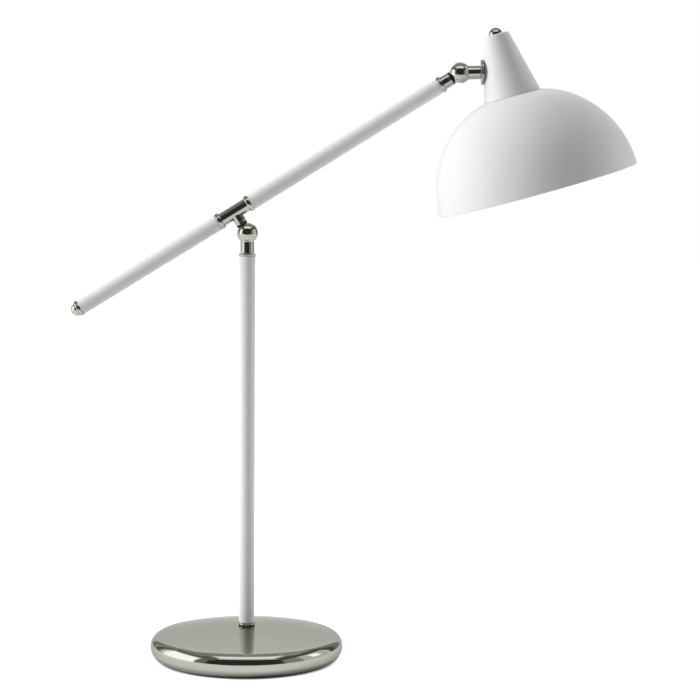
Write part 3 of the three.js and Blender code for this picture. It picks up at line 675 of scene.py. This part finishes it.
def hand_over(bm, node, place, crisp=CRISP):
    """Makes the bmesh, in mm, the visible piece for a node of the frame."""
    bmesh.ops.transform(bm, matrix=place @ Matrix.Scale(MM, 4), verts=bm.verts)
    bmesh.ops.recalc_face_normals(bm, faces=bm.faces)
    mesh = bpy.data.meshes.new(node + "_finished")
    bm.to_mesh(mesh)
    bm.free()
    mesh.polygons.foreach_set("use_smooth", [True] * len(mesh.polygons))
    mesh.set_sharp_from_angle(angle=crisp)
    mesh.materials.append(finishes[slot_of[node]])
    piece = bpy.data.objects.new(node + "_finished", mesh)
    scene.collection.objects.link(piece)
    piece.modifiers.new("even_shading", "WEIGHTED_NORMAL").keep_sharp = True
    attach(piece, body_of[node])
    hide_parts(node)
    made[node] = len(mesh.polygons)
    return piece


# %% [markdown]
# ## Base
# The shell of the base is spun from sheet: a top that is only just domed, a round rim, and an
# edge turned in underneath. The rim's lower quarter is a little taller than a circle, so that
# swing is squashed. A hole at the back takes the bush for the cord.

# %% Base sizes
LARGE = 192  # sides of the largest turned parts
SEAT = 0.3  # gap between parts that bear on each other
SKIM = 0.01  # by this much a cut misses a surface that it would otherwise lie in
AXIS = 0.01  # radius at which a curve counts as having reached the axis
BASE_EDGE = 12.0  # radius of the rim
BASE_UNDER = 13.3  # height of the rim's lower quarter
BASE_CROWN = 440.0  # radius of the domed top
BASE_SHEET = 1.2
BASE_LIP = 6.0  # how far the edge is turned in
NIPPLE_HOLE = 5.3  # radius of a hole for a threaded pipe
INLET_HEIGHT = 8.0  # of the cord's hole above the table
INLET_BORE = 3.4  # radii of the bush
INLET_BODY = 4.5
INLET_FLANGE = 6.1
INLET_DEPTH = 13.0
INLET_HEAD = 6.0  # depth of the flange before it is hollowed
INLET_PROUD = 1.3

shell_low, shell_high = span("base_shell", upright)
base_radius = shell_high.x
rim_centre = base_radius - BASE_EDGE
equator = shell_low.z + BASE_UNDER
crown_centre = equator - math.sqrt((BASE_CROWN - BASE_EDGE) ** 2 - rim_centre ** 2)
crown_starts = math.degrees(math.atan2(equator - crown_centre, rim_centre))
print("base radius and height in mm:", round(base_radius, 1), round(shell_high.z, 1))


# %% Base shell
def base_wall(grow):
    """A solid disc with the outside of the base, moved out by grow."""
    under, edge, crown = BASE_UNDER + grow, BASE_EDGE + grow, BASE_CROWN + grow
    to_axis = math.degrees(math.acos(AXIS / crown)) - crown_starts
    return turned(
        (0, equator - under), (rim_centre, equator - under),
        swing((rim_centre, equator), 90, 16, edge / under),
        swing((rim_centre, equator), crown_starts, 16),
        swing((0, crown_centre), to_axis, 24),
        (0, crown_centre + math.sqrt(crown ** 2 - AXIS ** 2)), sides=LARGE)


def along_y(height):
    """Lays a part drawn along Z towards the back, at a height."""
    return Matrix.Translation((0, 0, height)) @ Matrix.Rotation(math.radians(-90), 4, "X")


def bar(radius, low, high, sides=48):
    """A plain cutter for drilling."""
    return turned((0, low), (radius, low), (radius, high), (0, high), sides=sides)


lip_top = equator - BASE_UNDER + BASE_SHEET
hollow = base_wall(-BASE_SHEET)
opening = bar(rim_centre - BASE_LIP, -CLEAR, lip_top + SKIM, LARGE)
nipple_hole = bar(NIPPLE_HOLE, equator, shell_high.z + CLEAR)
inlet = moved(bar(INLET_BODY + SEAT, rim_centre, base_radius + CLEAR), along_y(INLET_HEIGHT))
shell = base_wall(0)
for cutter in (hollow, opening, nipple_hole, inlet):
    shell = combine(shell, cutter, "DIFFERENCE")
hand_over(shell, "base_shell", upright)
print("base shell faces:", made["base_shell"])

# %% [markdown]
# ## Under the base
# The pad is a disc of rubber with rounded edges and two shallow moulded rings. It closes the
# base, so the weight, the washer, the nut and the threaded pipe above it keep their plain shapes.

# %% Pad
RING_INSETS = (26.0, 10.0)  # from the edge of the pad to where a ring starts
RING_WIDTH = 2.0
RING_DEPTH = 0.4  # its sides slope by as much

pad_radius, _, pad_top = span("base_pad", upright)[1]
rings = []
for inset in RING_INSETS:
    start, stop = pad_radius - inset, pad_radius - inset + RING_WIDTH
    rings += [(start, 0), (start + RING_DEPTH, RING_DEPTH), (stop - RING_DEPTH, RING_DEPTH),
              (stop, 0)]
hand_over(turned((0, 0), *rings, (pad_radius, 0, 0.5), (pad_radius, pad_top, 0.3), (0, pad_top),
                 sides=LARGE), "base_pad", upright)
print("pad faces:", made["base_pad"])

# %% [markdown]
# ## Cord bush
# A nylon bush lines the hole at the back of the rim. Its flange is hollowed to the curve of the
# rim with the base's own section as the cutter, and its mouth is rounded so that it can't chafe.

# %% Cord bush
SLEEVE_GAP = 0.1  # the mould's hole is wider than the bush, so that they don't coincide

flange_face = base_radius + INLET_PROUD
flange_back, bush_end = flange_face - INLET_HEAD, flange_face - INLET_DEPTH
bush = turned(
    (INLET_BORE, bush_end, 0.4), (INLET_BODY, bush_end, 0.3), (INLET_BODY, flange_back),
    (INLET_FLANGE, flange_back), (INLET_FLANGE, flange_face, 0.6),
    (INLET_BORE, flange_face, 0.7), sides=96, closed=True)
bush = moved(bush, along_y(INLET_HEIGHT))
sleeve = bar(INLET_BODY + SLEEVE_GAP, bush_end - CLEAR, base_radius, 96)
mould = combine(base_wall(SEAT), moved(sleeve, along_y(INLET_HEIGHT)), "DIFFERENCE")
hand_over(combine(bush, mould, "DIFFERENCE"), "cord_bushing", upright)
print("cord bush faces:", made["cord_bushing"])

# %% [markdown]
# ## Tubes and beads
# Both tubes of the arm and the column are plain 16 mm tube with its ends deburred. Each is
# dressed at its ends by a turned bead, a half-round ring whose spigot goes inside the tube.

# %% Tube and bead helpers
TUBE_RADIUS = 8.0
TUBE_WALL = 1.2
BEAD_RADIUS = 8.5
BEAD_FOOT = 7.6  # radius where its half-round starts and ends
SPIGOT_RADIUS = 6.5
SPIGOT_LENGTH = 14.0
CABLE_WAY = 2.6  # radius of the way that is left for the flex


def tube(node, place):
    """A length of tube with both ends deburred."""
    low, high = ends(node, place)
    bore = TUBE_RADIUS - TUBE_WALL
    hand_over(turned((bore, low, 0.2), (TUBE_RADIUS, low, 0.35), (TUBE_RADIUS, high, 0.35),
                     (bore, high, 0.2), sides=96, closed=True), node, place)


def bead(low, high):
    """The outside of a bead, from low to high: one half-round ring."""
    half = (high - low) / 2
    squash = (BEAD_RADIUS - BEAD_FOOT) / half
    return [(BEAD_FOOT, low), swing((BEAD_FOOT, low + half), 180, 16, squash)]


tube("column_tube", upright)
tube("rear_arm_tube", arm_along)
tube("front_arm_tube", arm_along)
print("tube faces:", made["column_tube"])

# %% Column foot and column ferrule
NIPPLE_DEPTH = 9.3  # how far the threaded pipe goes into the column's foot
SHAFT_HOLE = 4.3

low, high = ends("column_foot", upright)
bead_top, nipple_top = high - SPIGOT_LENGTH, low + NIPPLE_DEPTH
hand_over(turned(*bead(low, bead_top), (SPIGOT_RADIUS, bead_top), (SPIGOT_RADIUS, high, 0.5),
                 (CABLE_WAY, high), (CABLE_WAY, nipple_top), (NIPPLE_HOLE, nipple_top),
                 (NIPPLE_HOLE, low), closed=True), "column_foot", upright)
low, high = ends("column_ferrule", upright)
bead_low = low + SPIGOT_LENGTH
hand_over(turned((SHAFT_HOLE, low), (SPIGOT_RADIUS, low, 0.5), (SPIGOT_RADIUS, bead_low),
                 *bead(bead_low, high), (SHAFT_HOLE, high), closed=True),
          "column_ferrule", upright)
print("bead faces:", made["column_foot"])

# %% [markdown]
# ## Slotted balls
# Each joint is a turned ball on a neck, with a slot sawn through its middle for the tongue of the
# other half. The slot is as wide as the tongue and its two fibre discs. It's cut with a slab of
# the shape that the tongue sweeps between its limits. A pivot screw goes in from the back through
# a counterbore and ends in the blind front half, so the front stays a clean ball.

# %% Ball sizes
BALL = 10.5
NECK = 6.75
NECK_FILLET = 2.0
NECK_LENGTH = 20.4  # from the pivot
TONGUE_HALF = 4.8
TONGUE_THICK = 5.0
DISC_THICK = 0.8
SLOT_HALF = TONGUE_THICK / 2 + DISC_THICK + 2 * SEAT
SCREW = 2.0
SCREW_PLAY = 0.15
EYE = SCREW + 0.2  # radius of the hole in the tongue and in the discs
SCREW_HEAD = 3.7
SCREW_HEAD_HEIGHT = 2.2
SCREW_SUNK = 1.1  # how far the head lies below the ball
SCREW_SEAT = BALL - SCREW_SUNK - SCREW_HEAD_HEIGHT
SCREW_THREAD = 4.0
CUP = BALL + 0.35  # radius at which the flats clear the ball
KNUCKLE_TOP = CUP + 2.0
KNUCKLE_SPIGOT = 3.5
SAWN_EDGE = 0.25  # width of the bevel on the edges of the slot
ARM_LIMITS = (-10, 66)  # how far the arm goes, in degrees above level
HEAD_LIMITS = (-60, 35)  # how far the tongue leans in the head's ball, in degrees from rest


def flat_plate(outline, half):
    """A plate from a closed outline in the XZ plane, as thick as twice half."""
    bm = draw(outline, True)
    bmesh.ops.contextual_create(bm, geom=bm.edges[:])
    bmesh.ops.translate(bm, vec=(0, -half, 0), verts=bm.verts)
    grown = bmesh.ops.extrude_face_region(bm, geom=bm.faces[:])
    new = [item for item in grown["geom"] if isinstance(item, bmesh.types.BMVert)]
    bmesh.ops.translate(bm, vec=(0, 2 * half, 0), verts=new)
    bmesh.ops.recalc_face_normals(bm, faces=bm.faces)
    return bm


def tongue_sweep(lean_from, lean_to):
    """The way that the tongue sweeps as it leans from +Z towards -X."""
    width, reach = TONGUE_HALF + 2 * SEAT, 3 * BALL

    def corner(lean, side, out):
        cosine, sine = math.cos(math.radians(lean)), math.sin(math.radians(lean))
        return (side * cosine - out * sine, side * sine + out * cosine)

    round_end = swing((0, 0), 180 - (lean_to - lean_from), 24)
    return flat_plate([corner(lean_to, -width, 0), round_end, corner(lean_from, width, reach),
                       corner(lean_to, -width, reach)], SLOT_HALF)


# %% Ball housings
def slotted_ball(tail, lean_from, lean_to, bore):
    """A ball on its neck, slotted, drilled and with its sawn edges broken."""
    fillet_radius = NECK + NECK_FILLET
    fillet_height = -math.sqrt((BALL + NECK_FILLET) ** 2 - fillet_radius ** 2)
    touch = math.degrees(math.atan2(fillet_height, fillet_radius))
    body = turned(*tail, (NECK, fillet_height), swing((fillet_radius, fillet_height), touch, 8),
                  swing((0, 0), 90 - touch, 48), sides=96)
    shank = bar(SCREW + SCREW_PLAY, -SLOT_HALF - SCREW_THREAD, BALL)
    counterbore = bar(SCREW_HEAD + SEAT, SCREW_SEAT, 2 * BALL)
    for tool in (tongue_sweep(lean_from, lean_to), bore,
                 moved(shank, along_y(0)), moved(counterbore, along_y(0))):
        body = combine(body, tool, "DIFFERENCE")

    def at_slot(point):
        return abs(abs(point.y) - SLOT_HALF) < NEAR and point.length > BALL - 2 * NEAR

    return break_edges(body, SAWN_EDGE, at_slot)


SHAFT = 4.0
HEAD_SOCKET = 6.0  # depth of the hole for the head's threaded pipe

shaft_end = ends("lower_ball_housing", lower_ball)[0]
tail = [(0, shaft_end), (SHAFT, shaft_end, 0.4), (SHAFT, -NECK_LENGTH), (NECK, -NECK_LENGTH, 0.3)]
bore = bar(CABLE_WAY, 2 * shaft_end, 0)
hand_over(slotted_ball(tail, *ARM_LIMITS, bore), "lower_ball_housing", lower_ball)

rest = ARM_RISES - neck_rises
bore = combine(bar(CABLE_WAY, -2 * NECK_LENGTH, 0),
               bar(NIPPLE_HOLE, -2 * NECK_LENGTH, HEAD_SOCKET - NECK_LENGTH), "UNION")
lean_from, lean_to = (rest + limit for limit in HEAD_LIMITS)
hand_over(slotted_ball([(0, -NECK_LENGTH), (NECK, -NECK_LENGTH, 0.3)], lean_from, lean_to, bore),
          "head_ball_housing", neck_back)
print("ball housing faces:", made["lower_ball_housing"], made["head_ball_housing"])

# %% [markdown]
# ## Knuckles
# The moving half of a joint is turned from bar. Flats are milled on its lower end, as wide apart
# as the slot takes, and they leave a shoulder just above the ball. Below it is the tongue, round
# at its end and drilled for the pivot screw, and above it the spigot that goes into the arm.
# The shoulder's underside and the flats lie in the ball's shade, so they read as a dark line.

# %% Knuckles
SHOULDER = BALL + 0.6  # from the pivot to the shoulder where the flats begin
ROOT = SHOULDER + 0.5  # how far the flats and the tongue go up into the foot


def knuckle(node, place, foot):
    """The foot, the flats below it, the tongue and the spigot of a joint."""
    top = span(node, place)[1].z
    body = turned((0, SHOULDER), (foot, SHOULDER, 0.15), (foot, KNUCKLE_TOP, 0.25),
                  (KNUCKLE_SPIGOT, KNUCKLE_TOP), (KNUCKLE_SPIGOT, top, 0.4), (0, top))
    half = TONGUE_THICK / 2
    cheeks = flat_plate([(-foot, 0), (foot, 0), (foot, ROOT), (-foot, ROOT)], half)
    cheeks = combine(cheeks, bar(foot, 0, ROOT, 96), "INTERSECT")
    cheeks = combine(cheeks, turned((0, -CUP), swing((0, 0), 180, 96), sides=96), "DIFFERENCE")
    tongue = flat_plate([(-TONGUE_HALF, ROOT), (-TONGUE_HALF, 0), swing((0, 0), 180, 32),
                         (TONGUE_HALF, ROOT)], half)
    for part in (cheeks, tongue):
        body = combine(body, part, "UNION")
    eye = moved(bar(EYE, -TONGUE_THICK, TONGUE_THICK), along_y(0))
    hand_over(combine(body, eye, "DIFFERENCE"), node, place)


STEM = 5.9
knuckle("lower_knuckle", arm_up, STEM)
knuckle("head_knuckle", arm_end_back, NECK)
print("knuckle faces:", made["lower_knuckle"])

# %% [markdown]
# ## Pivot screws and friction discs
# A cheese-head screw with a straight slot, and a fibre disc on each side of the tongue.

# %% Pivot screws
DRIVE_HALF = 0.6  # half the width of the screwdriver's slot
DRIVE_DEPTH = 1.1


def pivot_screw(node, place):
    """A slotted screw, drawn along Z and laid towards the back."""
    tip, seat = -SLOT_HALF - SCREW_THREAD + SEAT, SCREW_SEAT + SEAT
    face = SCREW_SEAT + SCREW_HEAD_HEIGHT
    body = turned((0, tip), (SCREW, tip, 0.3), (SCREW, seat), (SCREW_HEAD, seat, 0.15),
                  (SCREW_HEAD, face, 0.35), (0, face), sides=48)
    floor, above = face - DRIVE_DEPTH, face + DRIVE_DEPTH
    drive = flat_plate([(-DRIVE_HALF, floor), (DRIVE_HALF, floor), (DRIVE_HALF, above),
                        (-DRIVE_HALF, above)], 2 * SCREW_HEAD)
    body = combine(body, drive, "DIFFERENCE")
    body = break_edges(body, 0.1, lambda point: point.z > face - NEAR, 1)
    hand_over(body, node, place @ along_y(0))


pivot_screw("lower_pivot_screw", lower_ball)
pivot_screw("head_pivot_screw", neck_back)

low = TONGUE_THICK / 2 + SEAT
high = low + DISC_THICK
for joint, place in (("lower", lower_ball), ("head", neck_back)):
    for side, turn in (("back", -90), ("front", 90)):
        disc = turned((EYE, low), (TONGUE_HALF, low, 0.1), (TONGUE_HALF, high, 0.1), (EYE, high),
                      sides=48, closed=True)
        hand_over(disc, f"{joint}_friction_disc_{side}",
                  place @ Matrix.Rotation(math.radians(turn), 4, "X"))
print("screw faces:", made["lower_pivot_screw"])

# %% [markdown]
# ## Arm tee
# The tee is a short cross tube with a bead at each end, and a stem that stands on the knuckle.
# The stem is joined to the cross tube and the seam is filled like a brazed joint, by bevelling
# the edge where they meet.

# %% Arm tee
TEE_HALF = 14.8  # half the length between its beads
TEE_BEAD = 4.4
SEAM = 1.0  # width of the brazed seam

bead_end = TEE_HALF + TEE_BEAD
tee_end = bead_end + SPIGOT_LENGTH
cross = turned(
    (0, -tee_end), (SPIGOT_RADIUS, -tee_end, 0.5), (SPIGOT_RADIUS, -bead_end),
    *bead(-bead_end, -TEE_HALF), (NECK, -TEE_HALF),
    (NECK, TEE_HALF), *bead(TEE_HALF, bead_end),
    (SPIGOT_RADIUS, bead_end), (SPIGOT_RADIUS, tee_end, 0.5), (0, tee_end))
stem_low = KNUCKLE_TOP + SEAT
stem = turned((0, stem_low), (STEM, stem_low, 0.25), (STEM, ARM_OFFSET), (0, ARM_OFFSET))
cross = moved(cross, Matrix.Translation((0, 0, ARM_OFFSET)) @ leaning(90))
tee = combine(cross, stem, "UNION")


def at_seam(point):
    """Whether a point lies on the stem, well above its foot, where it meets the cross tube."""
    return abs(math.hypot(point.x, point.y) - STEM) < NEAR and point.z > stem_low + SEAM


tee = break_edges(tee, SEAM, at_seam, 4, 20)
tee = combine(tee, bar(KNUCKLE_SPIGOT + SEAT, 0, ARM_OFFSET), "DIFFERENCE")
hand_over(tee, "arm_tee", arm_up)
print("tee faces:", made["arm_tee"])

# %% Rear end plug, finials and front ferrule
STUD = 2.6
STUD_LENGTH = 4.0
STUD_HOLE = STUD + SEAT
FRONT_BEAD = 3.8
SOCKET_DEPTH = 7.3  # of the ferrule's hole for the knuckle's spigot
FINIAL = 6.8

low, high = ends("rear_end_plug", arm_along)
bead_low, bead_top = low + STUD_LENGTH, high - SPIGOT_LENGTH
hand_over(turned((0, low), (STUD, low, 0.3), (STUD, bead_low), *bead(bead_low, bead_top),
                 (SPIGOT_RADIUS, bead_top), (SPIGOT_RADIUS, high, 0.5), (0, high)),
          "rear_end_plug", arm_along)
low, high = ends("front_ferrule", arm_along)
bead_low = low + SPIGOT_LENGTH
bead_top = bead_low + FRONT_BEAD
socket, socket_end = KNUCKLE_SPIGOT + SEAT, high - SOCKET_DEPTH
hand_over(turned((CABLE_WAY, low), (SPIGOT_RADIUS, low, 0.5), (SPIGOT_RADIUS, bead_low),
                 *bead(bead_low, bead_top), (NECK, bead_top), (NECK, high, 0.25), (socket, high),
                 (socket, socket_end), (CABLE_WAY, socket_end), closed=True),
          "front_ferrule", arm_along)

rear_tip = ends("rear_finial", arm_along)[0] + FINIAL
top_tip = ends("top_finial", shade_up)[1] - FINIAL
turned_over = Matrix.Rotation(math.radians(180), 4, "X")
finial_places = {
    "rear_finial": arm_along @ Matrix.Translation((0, 0, rear_tip * MM)) @ turned_over,
    "top_finial": shade_up @ Matrix.Translation((0, 0, top_tip * MM)),
}
foot = math.degrees(math.asin(SEAT / FINIAL))
foot_radius = FINIAL * math.cos(math.radians(foot))
hole_top = STUD_LENGTH + SEAT
for node, place in finial_places.items():
    hand_over(turned((0, hole_top), (STUD_HOLE, hole_top), (STUD_HOLE, SEAT),
                     (foot_radius, SEAT), swing((0, 0), 90 - foot, 32), sides=72), node, place)
print("finial faces:", made["top_finial"])

# %% [markdown]
# ## Shade flange
# Two thin discs join the neck to the cone of the shade. The first has a round edge. The second
# has a boss behind it, hollowed to sit on the cone by cutting it with a larger copy of the cone.

# %% Cone sizes and flanges
DOME = 102.4  # radius of the dome
DOME_HEIGHT = 97.2
CONE_FOOT = 28.9  # radius where the cone stands on the dome
CONE_HEIGHT = 63.4
CONE_ANGLE = 14.04  # degrees
CONE_WALL = 0.8
CONE_EDGE = 1.2  # rounding of its upper edge
FLANGE = 12.6
SADDLE = 6.0  # radius of the boss
SADDLE_EDGE = 1.2  # thickness of the second disc
DRILL_REACH = 20.0  # past the flange, through one wall of the cone
cone_slope = math.tan(math.radians(CONE_ANGLE))
cone_top = DOME_HEIGHT + CONE_HEIGHT
cone_top_radius = CONE_FOOT - CONE_HEIGHT * cone_slope
cone_skin = CONE_WALL / math.cos(math.radians(CONE_ANGLE))

low, high = ends("head_flange", neck_along)
round_edge = (high - low) / 2
flat = FLANGE - round_edge
hand_over(turned((NIPPLE_HOLE, low), (flat, low), swing((flat, low + round_edge), 180, 12),
                 (NIPPLE_HOLE, high), sides=96, closed=True), "head_flange", neck_along)
low, high = ends("shade_flange", neck_along)
disc_top = low + SADDLE_EDGE
disc = turned((NIPPLE_HOLE, low), (FLANGE, low, 0.4), (FLANGE, disc_top, 0.3),
              (SADDLE, disc_top), (SADDLE, high), (NIPPLE_HOLE, high), sides=96, closed=True)
mould_foot = DOME_HEIGHT - CONE_HEIGHT
spread_out = CONE_HEIGHT * cone_slope
skin = SEAT / math.cos(math.radians(CONE_ANGLE))
mould = turned((0, mould_foot), (CONE_FOOT + spread_out + skin, mould_foot),
               (cone_top_radius + skin, cone_top), (0, cone_top), sides=LARGE)
to_neck = Matrix.Scale(1 / MM, 4) @ neck_along.inverted() @ shade_up @ Matrix.Scale(MM, 4)
hand_over(combine(disc, moved(mould, to_neck), "DIFFERENCE"), "shade_flange", neck_along)
print("flange faces:", made["head_flange"], made["shade_flange"])

# %% [markdown]
# ## Shade
# The dome is spun from aluminium sheet on a half-round former that goes flatter at its crown.
# Its rim is hemmed: rolled in to a small bead that stiffens it. A collar at the top goes inside
# the cone, which is a second spinning with a rounded upper edge and a flat lid.

# %% Shade dome
CROWN_START = 55.0  # radius where the sphere turns flatter
DOME_WALL = 0.8
HEM = 1.0  # radius of the rolled hem
HEM_INSET = 1.6  # from the outside of the dome to the middle of the hem
RIM_EDGE = 0.4  # bevel of the rim's outer edge
COLLAR_HEIGHT = 6.0

crown_angle = math.degrees(math.acos(CROWN_START / DOME))
dome_foot = DOME_HEIGHT - SEAT
start = Vector((CROWN_START, math.sqrt(DOME ** 2 - CROWN_START ** 2)))
end = Vector((CONE_FOOT, dome_foot))
chord = end - start
outward = start.normalized()
flatter_radius = -chord.length_squared / (2 * chord.dot(outward))
flatter_centre = start - outward * flatter_radius
crown_end = math.degrees(math.atan2(end.y - flatter_centre.y, end.x - flatter_centre.x))
flatter_turn = crown_end - crown_angle
print("crown radius in mm:", round(flatter_radius, 1), "turning by", round(flatter_turn, 1))

collar = CONE_FOOT - cone_skin - SEAT
collar_top = dome_foot + COLLAR_HEIGHT
collar_upper = collar - COLLAR_HEIGHT * cone_slope
inner_crown = flatter_centre + (end - flatter_centre) * (1 - DOME_WALL / flatter_radius)
hem_middle = DOME - HEM_INSET
hem_top = math.degrees(math.asin(2 * HEM / (DOME - DOME_WALL)))
dome = turned(
    (DOME, RIM_EDGE), swing((0, 0), crown_angle, 64),
    swing(flatter_centre, flatter_turn, 24),
    (collar, dome_foot), (collar_upper, collar_top),
    (collar_upper - DOME_WALL, collar_top), (collar - DOME_WALL, dome_foot - DOME_WALL),
    tuple(inner_crown), swing(flatter_centre, -flatter_turn, 24),
    swing((0, 0), hem_top - crown_angle, 64),
    (hem_middle, 2 * HEM), swing((hem_middle, HEM), 180, 10), (DOME - RIM_EDGE, 0),
    sides=LARGE, closed=True)
hand_over(dome, "shade_dome", shade_up)
print("dome faces:", made["shade_dome"])

# %% Shade cone
lid = cone_top - CONE_WALL
cone = turned(
    (CONE_FOOT - cone_skin, DOME_HEIGHT), (CONE_FOOT, DOME_HEIGHT, 0.2),
    (cone_top_radius, cone_top, CONE_EDGE), (STUD_HOLE, cone_top), (STUD_HOLE, lid),
    (cone_top_radius - cone_skin, lid, 0.8), sides=LARGE, closed=True)
low, high = ends("shade_flange", neck_along)
drill = moved(bar(NIPPLE_HOLE, low, high + DRILL_REACH, 64), to_neck.inverted())
hand_over(combine(cone, drill, "DIFFERENCE"), "shade_cone", shade_up)
print("cone faces:", made["shade_cone"])

# %% [markdown]
# ## Lampholder and bulb
# The holder is two mouldings, a cap and a body, with rounded edges. The bulb is a thin glass
# globe that narrows to a neck, on a cap with a rolled thread, drawn as a row of small waves.

# %% Lampholder and bulb
HOLDER = 14.0
HOLDER_WALL = 1.1
HOLDER_MOUTH = 9.6
HOLDER_NECK = 7.0
HOLDER_NECK_HEIGHT = 6.0
HOLDER_SHOULDER = 5.0  # radius of the rounded shoulder
CAP_RADIUS = 6.9
CAP_PITCH = 2.8
CAP_TURNS = 5
CAP_GROOVE = 0.5  # depth of the thread
CAP_START = 1.5  # from the cap's end to its first turn
CAP_CONE = 3.4  # height of the cone below the tip
CAP_TIP = 4.2
CAP_TIP_HEIGHT = 1.0
CAP_TIP_SLOPE = 1.2
GLOBE = 22.5
GLASS = 1.0
GLOBE_NECK = 8.2
GLOBE_SHOULDER = 4.0

low, high = ends("lampholder_cap", shade_up)
inner, shoulder = HOLDER - HOLDER_WALL, high - HOLDER_NECK_HEIGHT
skirt = shoulder - HOLDER_SHOULDER
hand_over(turned(
    (NIPPLE_HOLE, shoulder - HOLDER_WALL), (inner, skirt - HOLDER_WALL), (inner, low, 0.2),
    (HOLDER, low, 0.3), (HOLDER, skirt), swing((HOLDER - HOLDER_SHOULDER, skirt), 90, 12),
    (HOLDER_NECK, shoulder, 0.5), (HOLDER_NECK, high, 0.5), (NIPPLE_HOLE, high, 0.3),
    sides=96, closed=True), "lampholder_cap", shade_up)
low, high = ends("lampholder_body", shade_up)
hand_over(turned(
    (HOLDER_MOUTH, low, 0.4), (HOLDER, low, 1.2), (HOLDER, high, 0.3), (inner, high, 0.2),
    (inner, low + HOLDER_WALL), (HOLDER_MOUTH, low + HOLDER_WALL, 0.4), sides=96, closed=True),
    "lampholder_body", shade_up)

low, high = ends("bulb_cap", shade_up)
waves = []
for turn in range(CAP_TURNS):
    groove = low + CAP_START + turn * CAP_PITCH
    waves += [(CAP_RADIUS - CAP_GROOVE, groove, 0.3), (CAP_RADIUS, groove + CAP_PITCH / 2, 0.6)]
hand_over(turned((0, low), (CAP_RADIUS - 0.2, low, 0.3), *waves,
                 (CAP_RADIUS - 0.6, high - CAP_CONE, 0.6), (CAP_TIP, high - CAP_TIP_HEIGHT, 0.5),
                 (CAP_TIP - CAP_TIP_SLOPE, high, 0.5), (0, high)), "bulb_cap", shade_up)
low, high = ends("bulb_glass", shade_up)
globe_centre = low + GLOBE


def globe_angle(radius, neck):
    """How far the pen swings from the globe's lowest point to its neck."""
    return 90 + math.degrees(math.acos((neck + GLOBE_SHOULDER) / radius))


inside, inside_neck = GLOBE - GLASS, GLOBE_NECK - GLASS
inside_top = globe_centre + math.sqrt(inside ** 2 - (inside_neck + GLOBE_SHOULDER) ** 2)
glass = turned(
    (0, low), swing((0, globe_centre), globe_angle(GLOBE, GLOBE_NECK), 48), (GLOBE_NECK, high, 0.2),
    (inside_neck, high, 0.2), (inside_neck + GLOBE_SHOULDER, inside_top),
    swing((0, globe_centre), -globe_angle(inside, inside_neck), 48), sides=96)
hand_over(glass, "bulb_glass", shade_up, math.radians(60))
print("bulb faces:", made["bulb_cap"], made["bulb_glass"])

# %% Finish
print("pieces made:", len(made), "of", len(frame["nodes"]))
